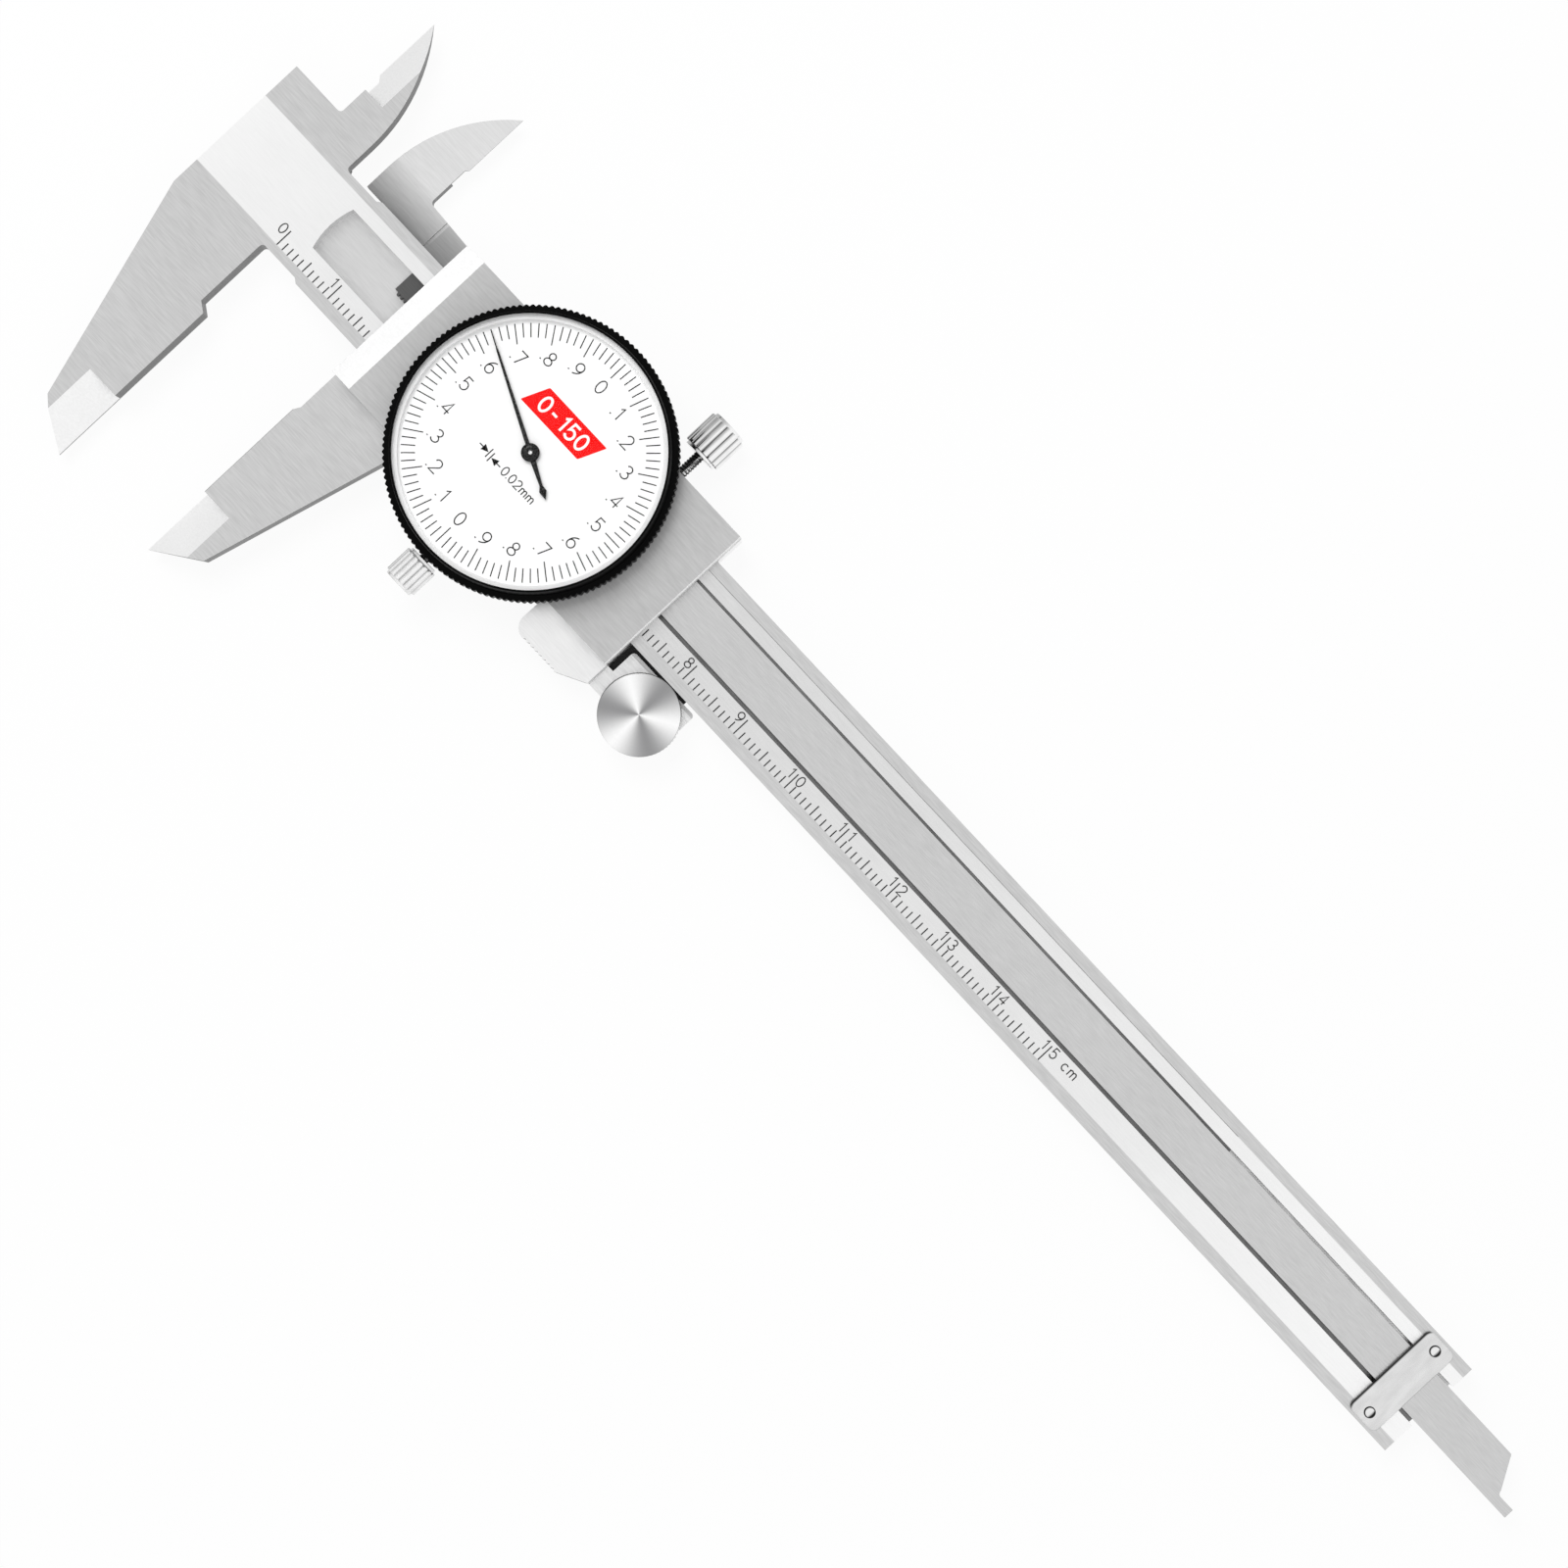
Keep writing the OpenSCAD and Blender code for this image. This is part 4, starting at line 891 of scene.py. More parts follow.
@dataclass(frozen=True)
class PlatedScrew(Finish):
    """Bright plating with painted shade in the flutes and on the left of a lying screw, a darker thread with
    a painted glint, or painted shade round a dome's foot and on its right side.

    Attributes:
        dark: colour of the painted shade and of the thread.
        axis: X and Z of a lying screw's axis in millimetres; nothing for upright domes.
        crest: radius of its head.
        flute: share of the painted shade in the flutes.
        thread: radius that parts the bare thread from the head.
    """

    dark: Triple
    axis: Optional[Pair] = None
    crest: float = 3.0
    flute: float = 0.7
    thread: float = 1.1
    roughness: float = 0.14
    metallic: float = 1.0
    spread: float = 0.08
    cloudy: float = 0.12
    patches: float = 300.0

    def paint(self, bench: Bench, where: Socket, effects: Effects) -> dict[str, Any]:
        """Distance from the axis and the tilt of a face, or the tilt of a dome, mix the painted shade in.

        Args:
            bench: bench of the material.
            where: Object coordinates.
            effects: shared node groups.

        Returns:
            Inputs of the Principled shader, by name.
        """
        marks = bench.marks(effects.patches, Vector=where, Scale=self.patches)
        dark = self._lying(bench, where) if self.axis else self._dome(bench)
        colour = bench.blend(dark, self.tone, self.dark)
        colour = bench.blend(bench.times(marks["Cloud"], self.cloudy), colour, self.dark)
        rough = bench.about(marks["Speck"], self.roughness, self.spread / 2)
        return {"Base Color": colour, "Roughness": rough, "Metallic": self.metallic}

    @staticmethod
    def _dome(bench: Bench) -> Socket:
        """Cover of the painted shade on an upright dome: its foot and its right side."""
        foot, right = (0.86, 0.7), (0.04, 0.3)
        return bench.most(bench.ramp(bench.facing(), *foot), bench.ramp(bench.facing(0), *right))

    def _lying(self, bench: Bench, where: Socket) -> Socket:
        """Cover of the dark colour: painted shade in the flutes, by the distance to the axis, and on the left
        side; the thread is darker but for a painted glint; the head's end faces stay bright.

        Args:
            bench: bench of the material.
            where: Object coordinates.

        Returns:
            Cover from nought to one.
        """
        x, _, z = bench.sketch(where)
        tilt, crest, thread = bench.facing(0), self.crest, self.thread
        away = bench.length(bench.minus(x, self.axis[0]), bench.minus(z, self.axis[1]))
        end_face, flute_bed, barrel = (0.6, 0.35), (crest - 0.05, crest - 0.22), (crest * 0.87, crest * 0.9)
        left_side, left_share = (0.2, -0.4), 0.75
        glint_tilt, glint_edge, thread_step = 0.42, (0.2, 0.3), 0.05
        side = bench.ramp(bench.math("ABSOLUTE", bench.facing(1)), *end_face)
        flute = bench.times(bench.ramp(away, *flute_bed), side, bench.ramp(away, *barrel), self.flute)
        # Painted shade on the side that faces left.
        left = bench.ramp(tilt, *left_side, 0.0, self.flute * left_share)
        # Painted glint on the thread where the face tilts to the right.
        dull = bench.ramp(bench.math("ABSOLUTE", bench.minus(tilt, glint_tilt)), *glint_edge)
        bare = bench.times(bench.ramp(away, thread + thread_step, thread - thread_step), dull)
        return bench.most(flute, left, bare)


@dataclass(frozen=True)
class ClearCrystal(Finish):
    """Thin clear pane that lets light and shadow rays straight through.

    Attributes:
        ior: refractive index of the coated pane.
    """

    ior: float = 1.16

    def paint(self, bench: Bench, where: Socket, effects: Effects) -> dict[str, Any]:
        """Clear glass with the faintest haze.

        Args:
            bench: bench of the material.
            where: Object coordinates.
            effects: shared node groups.

        Returns:
            Inputs of the Principled shader, by name.
        """
        cloud = bench.marks(effects.patches, Vector=where)["Cloud"]
        return {"Base Color": (*self.tone, 1.0), "Roughness": bench.ramp(cloud, 0.0, 1.0, 0.0, 0.02),
                "Transmission Weight": 1.0, "IOR": self.ior}

    def surface(self, bench: Bench, shader: Node) -> Socket:
        """The glass for seen rays, and no hindrance for shadow and diffuse rays.

        Args:
            bench: bench of the material.
            shader: the Principled shader's node.

        Returns:
            Output of the mixed shader.
        """
        path = bench.add("ShaderNodeLightPath").outputs
        straight = bench.most(path["Is Shadow Ray"], path["Is Diffuse Ray"])
        return bench.mix(straight, shader, bench.add("ShaderNodeBsdfTransparent"))


def grey(level: float) -> Triple:
    """Neutral linear colour of an 8-bit screen level.

    Args:
        level: screen level from 0 to 255.

    Returns:
        Three equal linear parts.
    """
    part = level / 255.0
    linear = part / 12.92 if part <= 0.04045 else ((part + 0.055) / 1.055) ** 2.4
    return (linear, linear, linear)


@dataclass
class FinishShelf:
    """All finishes of the caliper, by the record's material slots and a few prints."""

    effects: Effects
    made: dict[str, Material] = field(default_factory=dict)

    def stock(self) -> None:
        """Build every finish once."""
        pane = ClearCrystal("crystal_clear", grey(255))
        for finish in (*self._steels(), *self._plates(), *self._coats(), pane):
            self.made[finish.name] = finish.build(self.effects)

    @staticmethod
    def _steels() -> list[BrushedSteel]:
        """Brushed steels, some with places of another tone, most of them painted highlight or painted shade.

        Returns:
            The finishes, not yet built.
        """
        brush = (360.0, 5200.0, 5200.0)
        band = (-6.25, 6.35)
        jaw = (-10.0, 17.7)
        # Tilted faces that still look up get a painted highlight, upright faces painted shade.
        painted_highlight_slopes, painted_shade_walls = Touch(Place.SLOPES, grey(252)), Touch(Place.WALLS, grey(86))
        rule = (
            Touch(Place.BAND, grey(227), band, 0.03, 0.16),
            # The band's paling towards both ends of the beam is a painted highlight.
            Touch(Place.LIT_BAND, grey(251), band, 0.02),
            # Groove: the floor is painted dark as shade in the narrow gaps beside the depth bar and kept pale
            # in the open window; behind Y 3 and on the upright faces it is painted paler as light.
            Touch(Place.GROOVE, grey(130)),
            Touch(Place.GROOVE_BACK, grey(234), (3.0,)),
            Touch(Place.GROOVE, grey(222), (18.0, 60.0), 0.04, 0.1),
            painted_highlight_slopes,
            painted_shade_walls,
            Touch(Place.GROOVE_WALLS, grey(232), (-5.0, 5.6)),
        )
        frame_touches = (
            # Painted shade on the moving jaw's blade: darker near the beam and beside the slider's body, with
            # painted light towards the blade's end.
            Touch(Place.JAW_ROOT, grey(230), (*jaw, 15.0, 7.0), 0.07),
            Touch(Place.JAW_ROOT, grey(138), (*jaw, 7.6, 14.0), 0.07),
            Touch(Place.JAW_ROOT, grey(150), (13.4, jaw[1], 7.6, 16.0), 0.07),
            painted_highlight_slopes,
            Touch(Place.CORNER, grey(246), (57.0, -9.0)),
            painted_shade_walls,
            # Painted highlight on upright faces at the slider's right end.
            Touch(Place.END_WALLS, grey(253), (SLIDER_END,)),
        )
        plate = (
            # Plate: painted highlight on tilted faces and on upright faces at its right end, painted shade on
            # its other upright faces.
            painted_highlight_slopes,
            Touch(Place.WALLS, grey(170)),
            Touch(Place.END_WALLS, grey(236), (SLIDER_END,)),
        )
        rack = (
            Touch(Place.GROOVE, grey(152), (140.0, 240.0)),
            Touch(Place.GROOVE, grey(100), (24.0, 40.0)),
        )
        return [
            BrushedSteel("brushed_steel", grey(208), 0.08, brush, touches=frame_touches),
            BrushedSteel("rule_steel", grey(208), 0.08, brush, touches=rule),
            BrushedSteel("satin_plate", grey(190), 0.08, (420.0, 3600.0, 3600.0), 0.42, metallic=0.12,
                         touches=plate),
            # The end stop's faces that lean to the left get painted shade.
            BrushedSteel("stop_plate", grey(222), 0.08, (900.0, 260.0, 900.0), 0.24, relief=1.5e-5,
                         touches=(Touch(Place.LEFT_EDGES, grey(60)),)),
            BrushedSteel("satin_bar", grey(207), 0.07, (420.0, 7000.0, 7000.0), 0.36),
            BrushedSteel("rack_steel", grey(100), 0.2, roughness=0.45, touches=rack),
            BrushedSteel("screw_steel", grey(150), 0.15, (2600.0, 2600.0, 2600.0), 0.35),
            BrushedSteel("roller_steel", grey(200), 0.1, (2400.0, 2400.0, 200.0), 0.3),
        ]

    @staticmethod
    def _plates() -> list[Finish]:
        """Turned and plated metals.

        Returns:
            The finishes, not yet built.
        """
        return [
            TurnedMetal("arbor_steel", grey(190), DIAL_CENTRE, 0.22),
            # The cap's bright and dark sectors are a painted reflection.
            TurnedMetal("polished_cap", grey(255), ROLLER_CENTRE, 0.2, 0.03, 0.75, math.radians(32.0)),
            TurnedMetal("brass", (0.62, 0.43, 0.15), DIAL_CENTRE, 0.3),
            # The screws' dark colour is painted shade in the flutes, on the left and round the domes, and the
            # colour of the thread, which has a painted glint.
            PlatedScrew("chrome_screw", grey(240), grey(40)),
            PlatedScrew("lock_chrome", grey(250), grey(66), LOCK_AXIS, LOCK_HEAD_R),
            PlatedScrew("clamp_chrome", grey(254), grey(60), CLAMP_AXIS, CLAMP_HEAD_R, 0.35, metallic=0.55),
        ]

    @staticmethod
    def _coats() -> list[Coating]:
        """Paints, prints and blacked steel.

        Returns:
            The finishes, not yet built.
        """
        smooth = 1e-6
        return [
            Coating("case_grey", grey(120), grey(160), 0.5, 0.6),
            Coating("spring_blue", (0.02, 0.03, 0.12), (0.1, 0.1, 0.2), 0.25, 0.9),
            # black_leaf: painted shade; a dark sheet set in the gap beside the roller bracket, where only
            # shade would show.
            Coating("black_leaf", grey(20), grey(60), 0.5, 0.3),
            Coating("pointer_black", grey(14), grey(40), 0.3, wear=0.2, gloss=0.12),
            Coating("bezel_black", grey(4), grey(16), 0.4, wear=0.3, gloss=0.045),
            Coating("dial_white", grey(250), grey(240), 0.5, 0.0, 0.35, smooth, 0.1),
            Coating("rim_grey", grey(250), grey(225), 0.45, wear=0.4, gloss=0.2),
            Coating("etch_grey", grey(62), grey(104), 0.55, 0.0, 0.5, smooth, 0.05),
            Coating("ink_black", grey(14), grey(36), 0.55, 0.0, 0.3, smooth, 0.05),
            Coating("label_red", (0.98, 0.006, 0.006), (0.9, 0.02, 0.02), 0.5, 0.0, 0.3, smooth, 0.05),
            Coating("label_white", grey(250), grey(235), 0.5, 0.0, 0.3, smooth, 0.1),
        ]

    def dress_nodes(self) -> None:
        """Give every CAD node the finish of its slot in the record."""
        slots = {part["node"]: part["material_slot"] for part in frame["record"]["subparts"]}
        for name, node in frame["nodes"].items():
            node.data.materials.clear()
            node.data.materials.append(self.made[slots[name]])

    def settle(self, piece: Piece, body: Body, slot: str, finish: str, *nodes: str) -> None:
        """Dress a piece, let it ride on its body and hide the CAD nodes that it stands for.

        Args:
            piece: the new object.
            body: body that carries it.
            slot: the record's material slot.
            finish: name of its finish.
            nodes: CAD nodes that it replaces.
        """
        piece.data.materials.clear()
        piece.data.materials.append(self.made[finish])
        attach(piece, body.value)
        if nodes:
            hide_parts(*nodes)
        LOG.info("%s rides on %s as %s", piece.name, body.value, slot)


@dataclass(frozen=True)
class StrokeFont:
    """Plain single-stroke numerals, drawn on a cell of unit height."""

    glyph_width: float = 0.6
    spacing: float = 0.26

    @staticmethod
    def arc(x: float, y: float, across: float, up: float, start: float, end: float) -> Array:
        """Points of an ellipse about (x, y) from one angle to another, in degrees."""
        t = np.radians(np.linspace(start, end, max(6, int(abs(end - start) / 12))))
        return np.stack([x + across * np.cos(t), y + up * np.sin(t)], axis=-1)

    def strokes(self, sign: str) -> list[Array]:
        """Paths of one sign; a path whose ends meet is a closed loop.

        Args:
            sign: a digit, a full stop, a hyphen, c or m.

        Returns:
            Paths in cells, x to the right and y up.
        """
        arc = self.arc
        join = np.vstack
        shapes: dict[str, list[Any]] = {
            "0": [arc(0.3, 0.5, 0.3, 0.5, 90, 450)],
            "1": [[(0.1, 0.8), (0.32, 1.0), (0.32, 0.0)]],
            "2": [join([arc(0.3, 0.71, 0.29, 0.29, 165, -32), [(0.0, 0.0), (0.6, 0.0)]])],
            "3": [join([arc(0.29, 0.755, 0.26, 0.245, 150, -80), arc(0.29, 0.265, 0.3, 0.265, 80, -155)])],
            "4": [[(0.46, 0.0), (0.46, 1.0), (0.0, 0.28), (0.64, 0.28)]],
            "5": [join([[(0.55, 1.0), (0.1, 1.0), (0.05, 0.52)], arc(0.28, 0.32, 0.3, 0.32, 118, -150)])],
            "6": [arc(0.3, 0.31, 0.3, 0.31, 180, 540), arc(0.72, 0.31, 0.72, 0.69, 108, 178)],
            "7": [[(0.0, 1.0), (0.6, 1.0), (0.2, 0.0)]],
            "8": [arc(0.3, 0.76, 0.24, 0.24, 90, 450), arc(0.3, 0.26, 0.3, 0.26, 90, 450)],
            "9": [arc(0.3, 0.69, 0.3, 0.31, 0, 360), arc(-0.12, 0.69, 0.72, 0.69, -72, -2)],
            ".": [[(-0.06, 0.055), (0.05, 0.055)]],
            "-": [[(0.1, 0.45), (0.5, 0.45)]],
            "c": [arc(0.3, 0.32, 0.28, 0.32, 48, 312)],
            "m": [[(0.0, 0.0), (0.0, 0.64)], join([arc(0.19, 0.42, 0.19, 0.22, 178, 0), [(0.38, 0.0)]]),
                  join([arc(0.57, 0.42, 0.19, 0.22, 178, 0), [(0.76, 0.0)]])],
        }
        return [np.array(path, dtype=float) for path in shapes[sign]]

    def advance(self, sign: str) -> float:
        """Width of a sign in cells."""
        return {".": 0.0, "m": 0.76, "1": 0.4}.get(sign, self.glyph_width)

    def length(self, text: str) -> float:
        """Width of a text in cells."""
        return sum(self.advance(sign) for sign in text) + self.spacing * (len(text) - 1)

    def write(self, skin: Patchwork, text: str, centre: Pair, height: float, pen: float,
              low: float, high: float) -> None:
        """Add a line of text, centred on a point.

        Args:
            skin: mesh that takes the strokes.
            text: signs to write.
            centre: X and Y of the middle of the text.
            height: height of a digit.
            pen: width of a stroke.
            low: height of the strokes' undersides.
            high: height of their faces.
        """
        reach = height - pen
        left = centre[0] - self.length(text) * reach / 2
        for sign in text:
            for path in self.strokes(sign):
                closed = bool(np.linalg.norm(path[0] - path[-1]) < 1e-6)
                body = path[:-1] if closed else path
                placed = body * reach + np.array([left, centre[1] - reach / 2])
                skin.stroke(placed, pen, low, high, closed)
            left += (self.advance(sign) + self.spacing) * reach


@dataclass
class Beam:
    """Beam with its jaws, rule, rack and end stop."""

    shelf: FinishShelf
    ease: float = 0.07
    mark_foot: float = -6.25
    mark_pen: float = 0.18
    mark_lengths: Triple = (1.25, 1.75, 2.65)
    last_mark: int = 150
    digit_h: float = 1.65
    digit_pen: float = 0.17
    digit_y: float = -4.08
    digit_side: float = -1.0
    tens_side: float = -0.85
    ones_side: float = 0.95
    unit_side: float = 4.0
    band_ends: Pair = (20.0, 176.0)
    band_y: float = 6.36
    band_pen: float = 0.08
    low: float = RULE_FACE - 0.04
    high: float = RULE_FACE + 0.02
    stop_round: float = 0.42
    stop_corner: float = 1.0
    crown_inset: Pair = (1.1, 1.5)
    crown_rise: Pair = (0.02, 0.03)
    screw_x: float = 214.95
    screw_y: float = 6.0
    shank_r: float = 0.43
    shank_z: Pair = (0.2, 4.12)
    brim: Pair = (0.8, 4.15)
    dome_foot: float = 4.2
    dome_r: float = 0.82
    dome_h: float = 0.5

    def build(self) -> None:
        """Ease the beam, engrave its rule and fit its end stop."""
        settle = self.shelf.settle
        settle(eased_copy("beam", "rule_beam", self.ease), Body.BEAM, "brushed_steel", "rule_steel", "beam")
        settle(self._rule(), Body.BEAM, "pointer_black", "etch_grey")
        settle(self._satin_line(), Body.BEAM, "screw_steel", "screw_steel")
        settle(self._end_stop(), Body.BEAM, "brushed_steel", "stop_plate", "end_stop_plate")
        settle(self._stop_screws(), Body.BEAM, "screw_steel", "chrome_screw", "end_stop_screws")

    def _rule(self) -> Piece:
        """Marks at every millimetre, longer at five and ten, with a number at each centimetre.

        Returns:
            Marks and numbers as one piece.
        """
        skin = Patchwork()
        for step in range(self.last_mark + 1):
            kind = 2 if step % 10 == 0 else 1 if step % 5 == 0 else 0
            top = self.mark_foot + self.mark_lengths[kind]
            mark = np.array([[step, self.mark_foot], [step, top]], dtype=float)
            skin.stroke(mark, self.mark_pen, self.low, self.high)
        words = [(10.0 * number + self.digit_side, str(number)) for number in range(10)]
        for number in range(10, self.last_mark // 10 + 1):
            tens, ones = str(number)
            words += [(10.0 * number + self.tens_side, tens), (10.0 * number + self.ones_side, ones)]
        words.append((self.last_mark + self.unit_side, "cm"))
        size = (self.digit_h, self.digit_pen, self.low, self.high)
        for x, word in words:
            StrokeFont().write(skin, word, (x, self.digit_y), *size)
        return skin.build("rule_marks")

    def _satin_line(self) -> Piece:
        """Fine scribed line along the upper edge of the satin band, one straight pen stroke."""
        ends = np.array([[x, self.band_y] for x in self.band_ends])
        return Patchwork().stroke(ends, self.band_pen, self.low, self.high).build("band_line")

    def _end_stop(self) -> Piece:
        """Pressed plate: a rounded outline drawn in and raised along a quarter circle at its edge.

        Returns:
            The plate.
        """
        low, high = DATUM.box("end_stop_plate")
        centre, half = (low + high)[:2] / 2, (high - low)[:2] / 2
        t = np.radians(np.linspace(0.0, 90.0, 9))
        inset = np.concatenate([[0.0], self.stop_round * (1.0 - np.cos(t)), self.crown_inset])
        level = high[2] - self.stop_round * (1.0 - np.sin(t))
        level = np.concatenate([[low[2]], level, high[2] + np.array(self.crown_rise)])
        a = np.radians(np.linspace(0.0, 90.0, 9)[None] + np.array([[0.0], [90.0], [180.0], [270.0]])).ravel()
        quarter = np.repeat(np.array([[1, 1], [-1, 1], [-1, -1], [1, -1]]), 9, axis=0)
        radius = np.maximum(self.stop_corner - inset, 0.05)[:, None, None]
        core = half - inset[:, None] - radius[:, 0]
        arc = np.stack([np.cos(a), np.sin(a)], axis=-1)
        flat = centre + quarter[None] * core[:, None] + radius * arc[None]
        heights = np.repeat(level[:, None, None], len(a), axis=1)
        return skinned("end_stop", np.concatenate([flat, heights], axis=-1), smooth_deg=32.0)

    def _stop_screws(self) -> Piece:
        """Two domed screws: a shank and a quarter-ellipse dome, turned about Z.

        Returns:
            Both screws as one piece.
        """
        skin = Patchwork()
        t = np.radians(np.linspace(0.0, 86.0, 13))
        dome = np.stack([self.dome_r * np.cos(t), self.dome_foot + self.dome_h * np.sin(t)], axis=-1)
        profile = np.vstack([[(self.shank_r, z) for z in self.shank_z], [self.brim], dome])
        shape = turned(profile, turn_angles(48))
        for y in (-self.screw_y, self.screw_y):
            skin.grid(shape + np.array([self.screw_x, y, 0.0]), caps=True)
        return skin.build("stop_screws")


@dataclass
class Slider:
    """Slider frame with its moving jaw, its front plate and the depth bar."""

    shelf: FinishShelf
    ease: float = 0.07

    def build(self) -> None:
        """Ease the slider's outer pieces and the depth bar."""
        for node, name, slot in (("slider_frame", "slider_body", "brushed_steel"),
                                 ("front_plate", "slider_cover", "satin_plate"),
                                 ("depth_bar", "depth_rod", "satin_bar")):
            self.shelf.settle(eased_copy(node, name, self.ease), Body.SLIDER, slot, slot, node)


@dataclass
class Dial:
    """Bezel, dial print, crystal and pointer about one upright axis."""

    shelf: FinishShelf
    centre: Pair = DIAL_CENTRE
    face_z: float = 9.9
    ink: Pair = (-0.05, 0.02)
    lobes: int = 144
    knurl: float = 0.25
    knurl_blunt: float = 2.6
    knurl_from: float = 19.2
    knurl_fade: float = 0.3
    divisions: int = 100
    per_label: int = 5
    tick_outer: float = 17.22
    tick_short: float = 15.32
    tick_long: float = 14.5
    tick_pen: float = 0.145
    label_r: float = 12.78
    label_h: float = 2.04
    label_pen: float = 0.16
    pointer_deg: float = 295.2
    pointer_z: Pair = (10.2, 10.45)
    boss_r: float = 1.2
    reading: Pair = (-5.5, -4.12)
    mark_pen: float = 0.16
    value_h: float = 1.4
    value_pen: float = 0.15
    plaque: Pair = (0.15, 5.85)
    plaque_half: Pair = (5.5, 1.92)
    plaque_slant: float = 0.82
    range_h: float = 2.5
    range_pen: float = 0.36
    range_ink: Pair = (-0.03, 0.045)
    crystal_eye: float = 0.3
    crystal_r: float = 18.34
    rim_r: float = 18.41
    rim_z: Pair = (10.95, 11.34)
    crystal_back: float = 10.9
    crystal_top: float = 11.52
    crystal_crown: float = 0.14

    def build(self) -> None:
        """Build the bezel, the print, the crystal and the pointer."""
        settle = self.shelf.settle
        settle(self._bezel(), Body.BEZEL, "bezel_black", "bezel_black", "bezel")
        settle(self._print(), Body.BEZEL, "pointer_black", "ink_black")
        settle(self._plaque(), Body.BEZEL, "dial_white", "label_red")
        settle(self._plaque_text(), Body.BEZEL, "dial_white", "label_white")
        settle(self._crystal(), Body.BEZEL, "crystal_clear", "crystal_clear", "crystal")
        settle(self._pointer(), Body.HAND, "pointer_black", "pointer_black", "pointer")
        settle(self._hub(), Body.HAND, "pointer_black", "pointer_black", "pointer_hub")

    def _moved(self, points: Array) -> Array:
        """Points about the dial's axis moved to its place.

        Args:
            points: flat or solid points about the axis.

        Returns:
            The points in the sketch frame.
        """
        shift = np.zeros(points.shape[-1])
        shift[:2] = self.centre
        return points + shift

    def _heights(self, ink: Pair) -> Pair:
        """Heights of a print's underside and face."""
        return (self.face_z + ink[0], self.face_z + ink[1])

    def _bezel(self) -> Piece:
        """Ring profile carried round the axis.

        The outer wall is knurled: its radius falls by the knurl times one less a triangle wave of
        the angle, smoothed at the crests, which gives small blunt teeth.

        Returns:
            The ring.
        """
        corners = [(17.5, 6.4), (19.8, 6.4), (19.8, 9.4), (18.9, 9.4), (18.6, 11.9), (18.3, 11.9),
                   (18.3, 11.4), (18.45, 11.4), (18.45, 9.5), (17.9, 9.5), (17.9, 8.75), (17.5, 8.75)]
        profile = rounded_profile(corners, 0.14)
        angles = turn_angles(self.lobes * 8)
        wave = np.arcsin(np.abs(np.sin(self.lobes * angles / 2))) / np.pi
        tooth = np.minimum(wave * self.knurl_blunt, 1.0) - 1.0
        outer = np.clip((profile[:, 0] - self.knurl_from) / self.knurl_fade, 0.0, 1.0)
        shape = turned(profile, angles, self.knurl * outer[:, None] * tooth[None, :])
        return skinned("bezel_ring", self._moved(shape), ring=True)

    def _print(self) -> Piece:
        """Ticks every fiftieth of a millimetre, numbers every tenth and the reading mark.

        Returns:
            The whole print as one piece.
        """
        skin, font = Patchwork(), StrokeFont()
        low, high = self._heights(self.ink)
        for step, angle in enumerate(turn_angles(self.divisions)):
            ray = np.array([math.sin(angle), math.cos(angle)])
            label, between = divmod(step, self.per_label)
            ends = [self.tick_short if between else self.tick_long, self.tick_outer]
            skin.stroke(self._moved(np.outer(ends, ray)), self.tick_pen, low, high)
            if not between:
                text = "." + str(label % 10) if label % 10 else "0"
                spot = tuple(self._moved(self.label_r * ray))
                font.write(skin, text, spot, self.label_h, self.label_pen, low, high)
        self._reading_mark(skin, font, low, high)
        return skin.build("dial_print")

    def _reading_mark(self, skin: Patchwork, font: StrokeFont, low: float, high: float) -> None:
        """Two bars with an arrow on each side, and the value of one division.

        Args:
            skin: mesh that takes the mark.
            font: font of the value.
            low: height of the underside.
            high: height of the face.
        """
        left, y = self._moved(np.array(self.reading))
        left_bar, right_bar, value_x = 1.75, 2.3, 7.5
        gap, bar_half, stem_ends, tip_l, tip_half = 0.12, 0.75, (1.7, 0.8), 1.05, 0.5
        for x, way in ((left + left_bar, 1.0), (left + right_bar, -1.0)):
            level, back = y + way * gap, x - way * gap
            foot = back - way * tip_l
            bar = np.array([[x, level - bar_half], [x, level + bar_half]])
            stem = np.array([[back - way * end, level] for end in stem_ends])
            tip = np.array([[back, level], [foot, level + tip_half], [foot, level - tip_half]])
            for path in (bar, stem):
                skin.stroke(path, self.mark_pen, low, high)
            skin.slab(tip, low, high)
        font.write(skin, "0.02mm", (left + value_x, y), self.value_h, self.value_pen, low, high)

    def _plaque(self) -> Piece:
        """Plain red plaque above the axis: an outline with slanted ends and round corners at two heights.

        Returns:
            The plaque.
        """
        wide, high = self.plaque_half
        lean = self.plaque_slant
        corners = [(-wide - lean, -high), (wide - lean, -high), (wide + lean, high), (lean - wide, high)]
        outline = self._moved(rounded_profile(corners, 0.2, 4) + np.array(self.plaque))
        return Patchwork().slab(outline, *self._heights(self.ink)).build("dial_plaque")

    def _plaque_text(self) -> Piece:
        """Measuring range on the plaque.

        Returns:
            The figures as one piece.
        """
        skin = Patchwork()
        spot = tuple(self._moved(np.array(self.plaque)))
        heights = self._heights(self.range_ink)
        StrokeFont().write(skin, "0-150", spot, self.range_h, self.range_pen, *heights)
        return skin.build("plaque_numbers")

